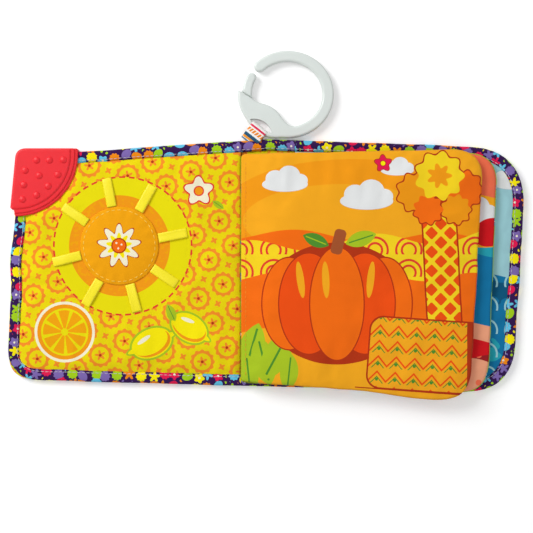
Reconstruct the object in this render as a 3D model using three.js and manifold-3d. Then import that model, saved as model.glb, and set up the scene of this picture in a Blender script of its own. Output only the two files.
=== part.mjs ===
// A soft cloth book for a baby, lying open face up: two padded covers joined by a cloth spine, two padded
// leaves, a sewn patch with ribbon tags, a silicone corner teether, and a clip ring on a hanging ribbon.
// Millimetres. X runs across the open spread, Y up the page, Z up from the table; x = 0 is the spine's middle.
import * as THREE from "three";
import { mergeVertices } from "three/addons/utils/BufferGeometryUtils.js";
import Module from "manifold-3d";

const wasm = await Module();
wasm.setup();

// Driving dimensions of the open cover: a corner is [x, y, corner radius], counter-clockwise.
const spineHalfWidth = 19.6;
const frontOuterTop = [-181.3, 77.8, 12];
const frontOuterBottom = [-190, -84.8, 20];
const spineBottom = [0, -89.8, 0];
const backOuterBottom = [177.5, -94.8, 36];
const backOuterTop = [188.5, 83, 44];
const spineTop = [0, 89.9, 0];

// Edge binding: a folded tape that wraps the edge of the covers.
const bindingWidth = 8.2;
const bindingThickness = 0.6;
const bindingHeight = 5.1;
const bindingRound = 1.6;

// Cloth, film and the gap kept between neighbouring pieces.
const clothThickness = 0.5;
const filmThickness = 0.15;
const gap = 0.3;

// Cover panels: how far inside the binding's outline they end, and how they swell away from the edge.
const panelInset = 1.0;
const panelRings = [0, 0.1, 0.18, 0.45, 1];
const panelUnderside = [0.9, 0.9, 0, 0, 0];
const panelFace = [4.2, 4.3, 5.2, 5.7, 5.9];

// The spine's inner cloth lies lower than the panels' faces.
const spineInnerHeight = 3.6;

// Leaves: corners from the spine out, the middle height of each leaf, and the swell of one half.
const leafRoot = -19.2;
const leafPlateStart = 6;
const leafRings = [0, 0.06, 0.15, 0.45, 1];
const leafHalf = [0.65, 1.6, 2.2, 2.5, 2.6];
const leafRootHalf = 1.5;
const leafRootRings = [0, 0.3, 1];
const leafRootSwell = [0.5, leafRootHalf, leafRootHalf];
const leafCornerRound = 2;
const leaves = [
  { name: "leaf_1", middle: 15.6, rootTop: 78, rootBottom: -85, top: [154.5, 81.5, 24], bottom: [143.5, -97, 20] },
  { name: "leaf_2", middle: 9.6, rootTop: 78, rootBottom: -86, top: [165, 79, 22], bottom: [158, -94, 22] },
];

// Filling of a leaf: how far in from the sewn edge it ends, and the film's face and the wadding's underside
// measured from the leaf's middle height.
const waddingInset = 5;
const leafFilmFace = [0.65, 1.1, 1.4, 1.6, 1.7];
const leafWaddingUnder = [-0.7, -1.1, -1.4, -1.6, -1.7];

// Round patch on the front cover, with ribbon tags that stand out from its edge like rays.
const patchCentre = [-107.4, 12.4];
const patchRadius = 28.5;
const patchBase = 6.2;
const patchTop = 8.3;
const patchHem = 2;
const patchEdgeHeight = 0.4;
const patchDomePower = 0.7;
const patchDomeSteps = 5;
const patchFillInset = 2.5;
const tagAngles = [101, 61, 11, -34, -75, -120, 194, 145];
const tagLength = 20.6;
const tagWidth = 6.9;
const tagThickness = 0.5;
const tagCornerRound = 1;
const tagStart = patchRadius + 0.5;

// Corner teether: a silicone pocket over the front cover's outer top corner.
const teetherCorner = [-182.7, 82.9];
const teetherLean = 3.6;
const teetherArcDrop = 4;
const teetherRadius = 40.6;
const teetherFlange = 4.6;
const teetherRound = 8;
const teetherFloor = 1.2;
const teetherPocketTop = 6.1;
const teetherFlangeTop = 7;
const teetherTop = 8.5;
const bumpRadius = 2.3;
const bumpHeight = 0.8;
const bumpRoot = 0.4;
const teetherPlateBevel = 0.9;
const teetherFlangeBevel = 0.4;
const bumpRows = [
  { reach: 15.5, angles: [-18, -55] },
  { reach: 25, angles: [-11, -40, -72] },
  { reach: 35.5, angles: [-8, -30, -55, -79] },
];

// Clip ring: its centre, how flat it is from top to bottom, its radii, and the plate with eyelet and gate.
const ringCentre = [14.2, 122.3];
const ringFlat = 0.94;
const ringOuter = 33.7;
const ringInner = 25.2;
const ringFreeEnd = 133;
const ringUnderside = 0.8;
const ringThickness = 4.8;
const ringBevel = 1.2;
const gateRadius = 29.3;
const gateHalfWidth = 3.4;
const gateTip = 153;
const gateHeel = 172;

// Plate between ring and ribbon, about the ring's centre: where its edge leaves and joins the ring, and the
// control points and end of each of its curves.
const plateLeavesRing = -97;
const plateJoinsRing = -78.3;
const plateFootCurve = [-13, -35, -22.5, -31.5, -28.5, -21.7];
const plateSideCurve = [-33.5, -13.5, -37.5, -6, -35.7, 3.1];
const plateHollowCurve = [-21.5, -8, -15, -5.8, -8.4, -12.2];
const plateNeckCurve = [-3, -17.5, -3, -23.5, 5.1, -24.7];
const eyeletStart = [-27.2, -19.2];
const eyeletOutCurve = [-26, -23.5, -21, -30, -11.6, -29.8];
const eyeletBackCurve = [-12, -24.5, -18, -17.5, ...eyeletStart];

// The gate parts from the plate along this line, from the outside in.
const gateRootOuter = [-33.2, 1.9];
const gateRootInner = [-25.4, -3.1];
const gateRootGap = 0.36;

// Hanging ribbon: a loop through the eyelet, at a slant, cut off where it goes into the binding.
const ribbonSlant = 52;
const ribbonWidth = 13;
const ribbonFold = [-5.3, 99];
const ribbonThickness = 0.5;
const ribbonTop = 6.4;
const ribbonFoldRound = 1.6;
const ribbonParallel = 13;
const ribbonReach = 20;
const ribbonEdge = 90.3;

const degree = Math.PI / 180;

// Colours and finishes.
const cloth = (color) => new THREE.MeshStandardMaterial({ color, roughness: 0.85, metalness: 0 });
const finishes = {
  printYellow: cloth(0xe5c80f),
  printOrange: cloth(0xf1a31b),
  printCoral: cloth(0xee7044),
  printRed: cloth(0xd23b3b),
  printLime: cloth(0x9cc410),
  printTeal: cloth(0x4f9fbd),
  plainPurple: cloth(0x3a1a5e),
  wadding: cloth(0xf2f0ea),
  film: new THREE.MeshStandardMaterial({ color: 0xdadfe2, roughness: 0.3, metalness: 0 }),
  satin: new THREE.MeshStandardMaterial({ color: 0xf7e102, roughness: 0.45, metalness: 0 }),
  silicone: new THREE.MeshStandardMaterial({ color: 0xe9353e, roughness: 0.5, metalness: 0 }),
  plastic: new THREE.MeshStandardMaterial({ color: 0xcfd8d3, roughness: 0.4, metalness: 0 }),
  patch: cloth(0xf1a400),
};

// Solid modelling: a closed mesh as a solid, and back.
function solidOf(geometry) {
  const bare = geometry.clone();
  bare.deleteAttribute("normal");
  bare.deleteAttribute("uv");
  const merged = mergeVertices(bare, 1e-4);
  return new wasm.Manifold(
    new wasm.Mesh({
      numProp: 3,
      vertProperties: merged.attributes.position.array,
      triVerts: new Uint32Array(merged.index.array),
    }),
  );
}

function geometryOf(solid) {
  const mesh = solid.getMesh();
  const geometry = new THREE.BufferGeometry();
  geometry.setAttribute("position", new THREE.BufferAttribute(mesh.vertProperties, 3));
  geometry.setIndex(new THREE.BufferAttribute(mesh.triVerts, 1));
  geometry.computeVertexNormals();
  return geometry;
}

// A block between two opposite corners, used to cut.
function block(low, high) {
  const size = high.map((value, axis) => value - low[axis]);
  const box = new THREE.BoxGeometry(...size);
  return box.translate(...low.map((value, axis) => value + size[axis] / 2));
}

// Outline with each corner rounded by a curve that starts and ends one radius from the corner.
function roundedShape(corners) {
  const shape = new THREE.Shape();
  const count = corners.length;
  const towards = (from, to, reach) => {
    const length = Math.hypot(to[0] - from[0], to[1] - from[1]);
    return [from[0] + ((to[0] - from[0]) * reach) / length, from[1] + ((to[1] - from[1]) * reach) / length];
  };
  corners.forEach((corner, index) => {
    const before = corners[(index + count - 1) % count];
    const after = corners[(index + 1) % count];
    const start = towards(corner, before, corner[2]);
    const end = towards(corner, after, corner[2]);
    if (index === 0) shape.moveTo(...start);
    else shape.lineTo(...start);
    if (corner[2] > 0) shape.quadraticCurveTo(corner[0], corner[1], ...end);
  });
  shape.closePath();
  return shape;
}

// The same corners moved inwards from every side.
function insetCorners(corners, inset) {
  const count = corners.length;
  const sides = corners.map((from, index) => {
    const to = corners[(index + 1) % count];
    const length = Math.hypot(to[0] - from[0], to[1] - from[1]);
    const along = [(to[0] - from[0]) / length, (to[1] - from[1]) / length];
    return { point: [from[0] - along[1] * inset, from[1] + along[0] * inset], along };
  });
  return corners.map((corner, index) => {
    const first = sides[(index + count - 1) % count];
    const second = sides[index];
    const cross = first.along[0] * second.along[1] - first.along[1] * second.along[0];
    const between = [second.point[0] - first.point[0], second.point[1] - first.point[1]];
    const reach = (between[0] * second.along[1] - between[1] * second.along[0]) / cross;
    const x = first.point[0] + first.along[0] * reach;
    const y = first.point[1] + first.along[1] * reach;
    return [x, y, Math.max(corner[2] - inset, 0)];
  });
}

// A plate on an outline whose underside and face swell from ring to ring towards its middle.
function swellingPlate(shape, rings, low, high) {
  const outline = shape.getPoints(5);
  if (outline[0].distanceTo(outline.at(-1)) < 1e-6) outline.pop();
  if (THREE.ShapeUtils.isClockWise(outline)) outline.reverse();
  const count = outline.length;
  const middle = new THREE.Box2().setFromPoints(outline).getCenter(new THREE.Vector2());
  const positions = [];
  const indices = [];
  const open = rings.length - 1;
  for (const heights of [low, high]) {
    for (let ring = 0; ring < open; ring++)
      for (const point of outline) {
        const moved = point.clone().lerp(middle, rings[ring]);
        positions.push(moved.x, moved.y, heights[ring]);
      }
    positions.push(middle.x, middle.y, heights[open]);
  }
  const side = open * count + 1;
  const at = (face, ring, index) => face * side + ring * count + (index % count);
  const centre = (face) => face * side + open * count;
  for (let index = 0; index < count; index++) {
    for (let ring = 0; ring + 1 < open; ring++) {
      const [a, b] = [at(1, ring, index), at(1, ring, index + 1)];
      const [c, d] = [at(1, ring + 1, index + 1), at(1, ring + 1, index)];
      indices.push(a, b, c, a, c, d);
      indices.push(a - side, c - side, b - side, a - side, d - side, c - side);
    }
    indices.push(at(1, open - 1, index), at(1, open - 1, index + 1), centre(1));
    indices.push(at(0, open - 1, index + 1), at(0, open - 1, index), centre(0));
    indices.push(at(0, 0, index), at(0, 0, index + 1), at(1, 0, index + 1));
    indices.push(at(0, 0, index), at(1, 0, index + 1), at(1, 0, index));
  }
  const geometry = new THREE.BufferGeometry();
  geometry.setAttribute("position", new THREE.Float32BufferAttribute(positions, 3));
  geometry.setIndex(indices);
  geometry.computeVertexNormals();
  return geometry;
}

const raised = (heights, rise) => heights.map((height) => height + rise);

function named(name, geometry, material) {
  const mesh = new THREE.Mesh(geometry, material);
  mesh.name = name;
  return mesh;
}

// Covers and spine.
const coverCorners = [frontOuterTop, frontOuterBottom, spineBottom, backOuterBottom, backOuterTop, spineTop];

// Height of the cover's inset outline at x, on the side between two of its corners.
function heightAt(corners, first, second, x) {
  const [from, to] = [corners[first], corners[second]];
  return from[1] + ((to[1] - from[1]) * (x - from[0])) / (to[0] - from[0]);
}

function frontPanelShape(inset) {
  const corners = insetCorners(coverCorners, inset);
  const edge = -spineHalfWidth - gap;
  return roundedShape([
    corners[0],
    corners[1],
    [edge, heightAt(corners, 1, 2, edge), 0],
    [edge, heightAt(corners, 5, 0, edge), 0],
  ]);
}

function backPanelShape(inset) {
  const corners = insetCorners(coverCorners, inset);
  const edge = spineHalfWidth + gap;
  return roundedShape([
    [edge, heightAt(corners, 2, 3, edge), 0],
    corners[3],
    corners[4],
    [edge, heightAt(corners, 4, 5, edge), 0],
  ]);
}

function spineShape(inset) {
  const corners = insetCorners(coverCorners, inset);
  const edge = spineHalfWidth - gap;
  return roundedShape([
    [-edge, heightAt(corners, 1, 2, -edge), 0],
    [edge, heightAt(corners, 2, 3, edge), 0],
    [edge, heightAt(corners, 4, 5, edge), 0],
    [-edge, heightAt(corners, 5, 0, -edge), 0],
  ]);
}

// Shell of the binding all round the cover, before it is parted at the spine.
function bindingSolid() {
  const whole = new THREE.ExtrudeGeometry(roundedShape(coverCorners), {
    depth: bindingHeight - 2 * bindingRound,
    bevelEnabled: true,
    bevelThickness: bindingRound,
    bevelSize: bindingRound,
    bevelOffset: -bindingRound,
    bevelSegments: 2,
    curveSegments: 6,
  }).translate(0, 0, bindingRound);
  const throat = new THREE.ExtrudeGeometry(roundedShape(insetCorners(coverCorners, bindingWidth)), {
    depth: bindingHeight + 2,
    bevelEnabled: false,
    curveSegments: 6,
  }).translate(0, 0, -1);
  const channel = new THREE.ExtrudeGeometry(roundedShape(insetCorners(coverCorners, bindingThickness)), {
    depth: bindingHeight - 2 * bindingThickness,
    bevelEnabled: false,
    curveSegments: 6,
  }).translate(0, 0, bindingThickness);
  return solidOf(whole).subtract(solidOf(throat)).subtract(solidOf(channel));
}

// Plan outline of the teether: two straight sides that meet in a round corner, closed by a quarter circle whose
// centre lies a little below that corner.
function teetherShape(grow) {
  const radius = teetherRadius + grow;
  const [x, y] = teetherCorner;
  const middle = y - teetherArcDrop;
  const shape = new THREE.Shape();
  shape.moveTo(x + teetherRound, y);
  shape.quadraticCurveTo(x, y, x - 0.2, y - teetherRound);
  shape.lineTo(x - teetherLean, middle - radius);
  shape.lineTo(x, middle - radius);
  shape.absarc(x, middle, radius, -90 * degree, 0, false);
  shape.lineTo(x + radius, y);
  shape.closePath();
  return shape;
}

// The shape as one run of points, without those that arcs and lines have in common.
function pointShape(shape) {
  const points = [];
  for (const point of shape.getPoints(6))
    if (!points.length || points.at(-1).distanceTo(point) > 0.02) points.push(point);
  if (points[0].distanceTo(points.at(-1)) < 0.02) points.pop();
  return new THREE.Shape(points);
}

function extruded(shape, low, high, bevel) {
  return new THREE.ExtrudeGeometry(pointShape(shape), {
    depth: high - low - 2 * bevel,
    bevelEnabled: bevel > 0,
    bevelThickness: bevel,
    bevelSize: bevel,
    bevelOffset: -bevel,
    bevelSegments: 2,
  }).translate(0, 0, low + bevel);
}

function teetherGeometry() {
  const plate = solidOf(extruded(teetherShape(0), 0, teetherTop, teetherPlateBevel));
  const flange = solidOf(extruded(teetherShape(teetherFlange), 0, teetherFlangeTop, teetherFlangeBevel));
  const pocketShape = roundedShape(insetCorners(coverCorners, -2 * gap));
  const pocket = solidOf(extruded(pocketShape, teetherFloor, teetherPocketTop, 0));
  let body = plate.add(flange).subtract(pocket);
  for (const row of bumpRows)
    for (const angle of row.angles) {
      const bump = new THREE.SphereGeometry(bumpRadius, 8, 6);
      bump.rotateX(Math.PI / 2);
      bump.scale(1, 1, (bumpHeight + bumpRoot) / bumpRadius);
      bump.translate(
        teetherCorner[0] + row.reach * Math.cos(angle * degree),
        teetherCorner[1] + row.reach * Math.sin(angle * degree),
        teetherTop - bumpRoot,
      );
      body = body.add(solidOf(bump));
    }
  return geometryOf(body);
}

// What the teether's lower wall takes out of the binding and the outer cloth that sit inside it.
function teetherRecess() {
  const radius = teetherRadius + teetherFlange + gap;
  const [x, y] = teetherCorner;
  const middle = y - teetherArcDrop;
  const shape = new THREE.Shape();
  shape.moveTo(x - radius, y + radius);
  shape.lineTo(x - radius, middle - radius);
  shape.lineTo(x, middle - radius);
  shape.absarc(x, middle, radius, -90 * degree, 0, false);
  shape.lineTo(x + radius, y + radius);
  shape.closePath();
  return solidOf(extruded(shape, -1, teetherFloor + gap, 0));
}

function coverGroup() {
  const group = new THREE.Group();
  const binding = bindingSolid();
  const edge = spineHalfWidth + gap / 2;
  const inner = spineHalfWidth - gap / 2;
  const part = (low, high) => binding.intersect(solidOf(block([low[0], low[1], -1], [high[0], high[1], 9])));
  const { plainPurple } = finishes;
  group.add(
    named("back_binding", geometryOf(part([edge, -120], [220, 120])), plainPurple),
    named("front_binding", geometryOf(part([-220, -120], [-edge, 120]).subtract(teetherRecess())), plainPurple),
    named("spine_binding_top", geometryOf(part([-inner, 0], [inner, 120])), plainPurple),
    named("spine_binding_bottom", geometryOf(part([-inner, -120], [inner, 0])), plainPurple),
  );

  const back = backPanelShape(panelInset);
  const front = frontPanelShape(panelInset);
  const spine = spineShape(panelInset);
  const outerTop = raised(panelUnderside, clothThickness);
  const padLow = raised(outerTop, gap);
  const faceLow = raised(panelFace, -clothThickness);
  const filmTop = raised(faceLow, -gap);
  const filmLow = raised(filmTop, -filmThickness);
  const outerCloth = solidOf(swellingPlate(front, panelRings, panelUnderside, outerTop));
  const frontPad = solidOf(swellingPlate(front, panelRings, padLow, raised(filmLow, -gap)));
  group.add(
    named("front_outer_cloth", geometryOf(outerCloth.subtract(teetherRecess())), plainPurple),
    named("front_pad", geometryOf(frontPad.subtract(teetherRecess())), finishes.wadding),
    named("front_crinkle_film", swellingPlate(front, panelRings, filmLow, filmTop), finishes.film),
    named("front_inner_cloth", swellingPlate(front, panelRings, faceLow, panelFace), finishes.printYellow),
    named("back_outer_cloth", swellingPlate(back, panelRings, panelUnderside, outerTop), plainPurple),
    named("back_pad", swellingPlate(back, panelRings, padLow, filmTop), finishes.wadding),
    named("back_inner_cloth", swellingPlate(back, panelRings, faceLow, panelFace), finishes.printTeal),
  );

  const spineInside = [spineInnerHeight, spineInnerHeight, spineInnerHeight];
  const spineInsideTop = raised(spineInside, clothThickness);
  group.add(
    named("spine_outer_cloth", swellingPlate(spine, panelRings, panelUnderside, outerTop), plainPurple),
    named("spine_inner_cloth", swellingPlate(spine, [0, 0.5, 1], spineInside, spineInsideTop), plainPurple),
    named("corner_teether", teetherGeometry(), finishes.silicone),
  );
  return group;
}

// Leaves.
function leafGroup({ name, middle, rootTop, rootBottom, top, bottom }, faceFinish, backFinish) {
  const whole = [[leafRoot, rootBottom, 0], bottom, top, [leafRoot, rootTop, 0]];
  const cutBottom = heightAt(whole, 0, 1, leafPlateStart);
  const cutTop = heightAt(whole, 2, 3, leafPlateStart);
  const round = leafCornerRound;
  const corners = [[leafPlateStart, cutBottom, round], bottom, top, [leafPlateStart, cutTop, round]];
  const sheet = roundedShape(corners);
  const stuffing = roundedShape(insetCorners(corners, waddingInset));
  const outside = raised(leafHalf, middle);
  const inside = raised(outside, -clothThickness);
  const under = leafHalf.map((half) => middle - half);
  const underInside = raised(under, clothThickness);
  const filmTop = raised(leafFilmFace, middle);
  const filmLow = raised(filmTop, -filmThickness);
  const waddingTop = raised(filmLow, -gap);
  const waddingLow = raised(leafWaddingUnder, middle);
  const root = roundedShape([
    [leafRoot, rootBottom, round],
    [leafPlateStart - gap, cutBottom, round],
    [leafPlateStart - gap, cutTop, round],
    [leafRoot, rootTop, round],
  ]);
  const rootLow = leafRootSwell.map((half) => middle - half);
  const rootHigh = raised(leafRootSwell, middle);
  const group = new THREE.Group();
  group.add(
    named(name + "_front_cloth", swellingPlate(sheet, leafRings, inside, outside), faceFinish),
    named(name + "_back_cloth", swellingPlate(sheet, leafRings, under, underInside), backFinish),
    named(name + "_crinkle_film", swellingPlate(stuffing, leafRings, filmLow, filmTop), finishes.film),
    named(name + "_wadding", swellingPlate(stuffing, leafRings, waddingLow, waddingTop), finishes.wadding),
    named(name + "_root", swellingPlate(root, leafRootRings, rootLow, rootHigh), faceFinish),
  );
  return group;
}

// Side view of a low dome, from its edge up to the axis.
function domeProfile(radius, base, top) {
  const points = [];
  for (let step = 0; step < patchDomeSteps; step++) {
    const turn = (step / patchDomeSteps) * 90 * degree;
    points.push(new THREE.Vector2(radius * Math.cos(turn), base + (top - base) * Math.sin(turn) ** patchDomePower));
  }
  points.push(new THREE.Vector2(0, top));
  return points;
}

// Round patch with its ribbon tags.
function patchGroup() {
  const group = new THREE.Group();
  group.position.set(...patchCentre, 0);
  const hemRadius = patchRadius - patchHem;
  const fillRadius = patchRadius - patchFillInset;
  const innerBase = patchBase + patchEdgeHeight / 2;
  const outside = domeProfile(patchRadius, patchBase + patchEdgeHeight, patchTop);
  const inside = domeProfile(hemRadius, innerBase, patchTop - clothThickness).reverse();
  const foot = new THREE.Vector2(hemRadius, patchBase);
  const skin = [foot, new THREE.Vector2(patchRadius, patchBase), ...outside, ...inside, foot.clone()];
  const filling = domeProfile(fillRadius, innerBase, patchTop - clothThickness - gap);
  const fill = [new THREE.Vector2(0, patchBase), new THREE.Vector2(fillRadius, patchBase), ...filling];
  group.add(
    named("round_patch", new THREE.LatheGeometry(skin, 32).rotateX(Math.PI / 2), finishes.patch),
    named("round_patch_wadding", new THREE.LatheGeometry(fill, 24).rotateX(Math.PI / 2), finishes.wadding),
  );
  tagAngles.forEach((angle, index) => {
    const end = tagStart + tagLength;
    const side = tagWidth / 2;
    const tag = roundedShape([
      [tagStart, -side, 0],
      [end, -side, tagCornerRound],
      [end, side, tagCornerRound],
      [tagStart, side, 0],
    ]);
    const ribbon = extruded(tag, patchBase, patchBase + tagThickness, 0);
    const mesh = named("ribbon_tag_" + (index + 1), ribbon, finishes.satin);
    mesh.rotation.z = angle * degree;
    group.add(mesh);
  });
  return group;
}

// Clip ring, drawn about its own centre.
const polar = (radius, angle) => [radius * Math.cos(angle * degree), radius * Math.sin(angle * degree)];

function ringShape() {
  const shape = new THREE.Shape();
  const free = ringFreeEnd * degree;
  const middleRadius = (ringOuter + ringInner) / 2;
  const halfSection = (ringOuter - ringInner) / 2;
  shape.absarc(0, 0, ringOuter, free, plateLeavesRing * degree, true);
  shape.bezierCurveTo(...plateFootCurve);
  shape.bezierCurveTo(...plateSideCurve);
  shape.lineTo(...gateRootOuter);
  shape.lineTo(...gateRootInner);
  shape.bezierCurveTo(...plateHollowCurve);
  shape.bezierCurveTo(...plateNeckCurve);
  shape.absarc(0, 0, ringInner, plateJoinsRing * degree, free, false);
  shape.absarc(...polar(middleRadius, ringFreeEnd), halfSection, free - Math.PI, free, true);
  return shape;
}

// Lens-shaped hole that the hanging ribbon goes through.
function eyeletShape() {
  const eyelet = new THREE.Shape();
  eyelet.moveTo(...eyeletStart);
  eyelet.bezierCurveTo(...eyeletOutCurve);
  eyelet.bezierCurveTo(...eyeletBackCurve);
  return eyelet;
}

function clipRingGeometry(low, high) {
  const body = solidOf(extruded(ringShape(), low, high, ringBevel));
  return geometryOf(body.subtract(solidOf(extruded(eyeletShape(), low - 1, high + 1, 0))));
}

function gateShape() {
  const shape = new THREE.Shape();
  const tip = gateTip * degree;
  const root = 180 * degree;
  shape.moveTo(gateRootInner[0], gateRootInner[1] + gateRootGap);
  shape.lineTo(gateHalfWidth - gateRadius, 0);
  shape.absarc(0, 0, gateRadius - gateHalfWidth, root, tip, true);
  shape.absarc(...polar(gateRadius, gateTip), gateHalfWidth, tip - Math.PI, tip, false);
  shape.absarc(0, 0, gateRadius + gateHalfWidth, tip, gateHeel * degree, false);
  shape.lineTo(gateRootOuter[0], gateRootOuter[1] + gateRootGap);
  shape.closePath();
  return shape;
}

function clipGroup() {
  const group = new THREE.Group();
  group.position.set(...ringCentre, 0);
  group.scale.set(1, ringFlat, 1);
  const top = ringUnderside + ringThickness;
  group.add(
    named("clip_ring", clipRingGeometry(ringUnderside, top), finishes.plastic),
    named("clip_gate", extruded(gateShape(), ringUnderside, top, ringBevel / 2), finishes.plastic),
  );
  return group;
}

// Hanging ribbon: side view of the loop, from its fold at 0 back to its sewn end.
function ribbonGeometry() {
  const middle = ribbonTop / 2;
  const wall = ribbonThickness;
  const round = ribbonFoldRound;
  const loop = new THREE.Shape();
  loop.moveTo(-ribbonReach, middle - wall);
  loop.lineTo(-ribbonParallel, 0);
  loop.lineTo(-round, 0);
  loop.quadraticCurveTo(0, 0, 0, round);
  loop.lineTo(0, ribbonTop - round);
  loop.quadraticCurveTo(0, ribbonTop, -round, ribbonTop);
  loop.lineTo(-ribbonParallel, ribbonTop);
  loop.lineTo(-ribbonReach, middle + wall);
  loop.closePath();
  const inside = new THREE.Path();
  inside.moveTo(2 - ribbonReach, middle);
  inside.lineTo(0.2 - ribbonParallel, wall);
  inside.lineTo(0.2 - round, wall);
  inside.quadraticCurveTo(-wall, wall, -wall, round);
  inside.lineTo(-wall, ribbonTop - round);
  inside.quadraticCurveTo(-wall, ribbonTop - wall, 0.2 - round, ribbonTop - wall);
  inside.lineTo(0.2 - ribbonParallel, ribbonTop - wall);
  inside.closePath();
  loop.holes.push(inside);
  const band = new THREE.ExtrudeGeometry(loop, { depth: ribbonWidth, bevelEnabled: false, curveSegments: 3 });
  const along = new THREE.Vector3(...polar(1, ribbonSlant), 0);
  const up = new THREE.Vector3(0, 0, 1);
  const across = along.clone().cross(up);
  const place = new THREE.Matrix4().makeBasis(along, up, across);
  place.setPosition(new THREE.Vector3(...ribbonFold, 0).addScaledVector(across, -ribbonWidth / 2));
  band.applyMatrix4(place);
  return geometryOf(solidOf(band).subtract(solidOf(block([-60, 40, -5], [60, ribbonEdge, 15]))));
}

const book = new THREE.Group();
book.add(
  coverGroup(),
  leafGroup(leaves[0], finishes.printOrange, finishes.printRed),
  leafGroup(leaves[1], finishes.printCoral, finishes.printLime),
  patchGroup(),
  clipGroup(),
  named("hanging_ribbon", ribbonGeometry(), finishes.satin),
);

export default book;
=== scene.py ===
"""A soft cloth book for a baby, lying open face up: padded covers, two leaves, a patch with ribbon tags,
a silicone corner teether and a clip ring on a hanging ribbon. Metres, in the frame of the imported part."""

import logging
import math
from dataclasses import dataclass, field
from enum import Enum
from typing import Callable, Iterable, Sequence

import bmesh
import bpy
import numpy as np
from bpy.types import Material, Node, NodeSocket, NodeTree, Object
from mathutils import Matrix, Vector, noise


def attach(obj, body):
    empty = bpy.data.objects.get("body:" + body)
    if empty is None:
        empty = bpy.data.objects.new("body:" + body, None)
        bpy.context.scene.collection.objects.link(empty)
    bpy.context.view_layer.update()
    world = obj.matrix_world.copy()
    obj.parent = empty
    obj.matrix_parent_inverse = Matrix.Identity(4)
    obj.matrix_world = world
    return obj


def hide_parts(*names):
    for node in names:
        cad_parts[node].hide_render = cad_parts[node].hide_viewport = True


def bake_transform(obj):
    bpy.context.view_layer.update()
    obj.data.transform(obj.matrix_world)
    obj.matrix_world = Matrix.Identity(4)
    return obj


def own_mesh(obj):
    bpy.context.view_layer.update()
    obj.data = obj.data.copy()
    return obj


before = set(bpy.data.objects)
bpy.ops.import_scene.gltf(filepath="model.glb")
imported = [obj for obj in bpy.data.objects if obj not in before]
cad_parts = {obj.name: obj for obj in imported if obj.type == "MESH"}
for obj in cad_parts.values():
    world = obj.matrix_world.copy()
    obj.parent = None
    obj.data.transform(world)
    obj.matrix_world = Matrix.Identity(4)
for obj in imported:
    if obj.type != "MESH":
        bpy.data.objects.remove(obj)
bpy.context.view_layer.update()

log = logging.getLogger("cloth_book")

MM = 0.001
TAU = 2 * math.pi
UP = np.array([0.0, 0.0, 1.0])
PATCH_CENTRE = (-107.4, 12.4)
SHARP_DEGREES = 50

Array = np.ndarray
Spot = Sequence[float]
Corner = tuple[float, float, float]
Height = Callable[[Array, Array, Array], Array]


def srgb(code: str) -> tuple[float, float, float, float]:
    """Turns an sRGB hex colour into the linear colour that a shader takes.

    Args:
        code: Six hex digits, with or without a leading hash.

    Returns:
        Linear red, green and blue, with an alpha of one.
    """
    digits = code.lstrip("#")
    values = [int(digits[i:i + 2], 16) / 255 for i in (0, 2, 4)]
    linear = [v / 12.92 if v <= 0.04045 else ((v + 0.055) / 1.055) ** 2.4 for v in values]
    return (*linear, 1.0)


def put(tree: NodeTree, kind: str, inputs: dict | None = None, **settings: object) -> Node:
    """Adds one node with its settings, and links or sets its inputs.

    Args:
        tree: The node tree that takes the node.
        kind: The node's type name, without its leading "ShaderNode".
        inputs: Input name or index to a socket, which is linked, or a value, which is set.
        settings: Properties of the node.

    Returns:
        The new node.
    """
    node = tree.nodes.new("ShaderNode" + kind)
    for name, value in settings.items():
        setattr(node, name, value)
    for key, value in (inputs or {}).items():
        if isinstance(value, NodeSocket):
            tree.links.new(value, node.inputs[key])
        else:
            node.inputs[key].default_value = value
    return node


class Ink(Enum):
    """Print and cloth colours, as sRGB hex values."""

    PURPLE = "33134f"
    LAVENDER = "7d67ad"
    SKY_BLUE = "62c3e6"
    PINK_RED = "e3184f"
    ORANGE = "f08a0c"
    LIME = "a3cf18"
    YELLOW = "fbea02"
    PAGE_YELLOW = "ecd803"
    PAGE_ORANGE = "f3a505"
    MOTIF_ORANGE = "f58f26"
    SUN_PALE = "ebdf02"
    SUN_RING = "f39a10"
    STITCH_RED = "e4402c"
    SKY_ORANGE = "f6aa1c"
    DEEP_ORANGE = "f66d0c"
    FRUIT = "ef4f0c"
    FRUIT_DARK = "b3340f"
    HILL = "f7d51e"
    CLOUD = "e6e8e8"
    CLOUD_GREY = "c5bfc9"
    GRASS = "a9c522"
    GRASS_DARK = "4f8f2c"
    STEM_BROWN = "a4532b"
    CREAM = "f6f0d2"
    CORAL = "f4714e"
    PEACH = "f3a681"
    RED = "d6121c"
    DARK_RED = "9c1c22"
    TEAL = "9fd0d8"
    SEA = "0d76a8"
    SEA_DARK = "07587f"
    SEA_LIGHT = "25a3b5"
    LEAF_PINK = "ef7f93"
    WHITE = "fbfbf7"


@dataclass(frozen=True)
class ClothFinish:
    """Woven polyester, printed and brushed soft: matt, with a little sheen at grazing angles."""

    roughness: float = 0.82
    sheen: float = 0.06
    weave_mm: float = 1.1
    weave_depth: float = 0.18
    crease_mm: float = 9.0
    crease_depth: float = 0.35


@dataclass(frozen=True)
class SatinFinish:
    """Satin ribbon: long floats of filament yarn that give a soft streaked shine."""

    roughness: float = 0.46
    sheen: float = 0.12
    rib_mm: float = 0.7
    rib_depth: float = 0.25
    print_fold_m: float = 0.0184
    print_repeat_m: float = 0.017


@dataclass(frozen=True)
class MouldedFinish:
    """A moulded plastic or rubber: a soft gloss, a fine mould grain, and a colour that glows a little."""

    roughness: float
    ior: float
    glow: float
    glow_reach: tuple[float, float, float]
    drift_mm: float
    drift_detail: float
    drift_range: tuple[float, float]
    grain_strength: float
    grain_depth_mm: float
    grain_mm: float = 0.5


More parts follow.
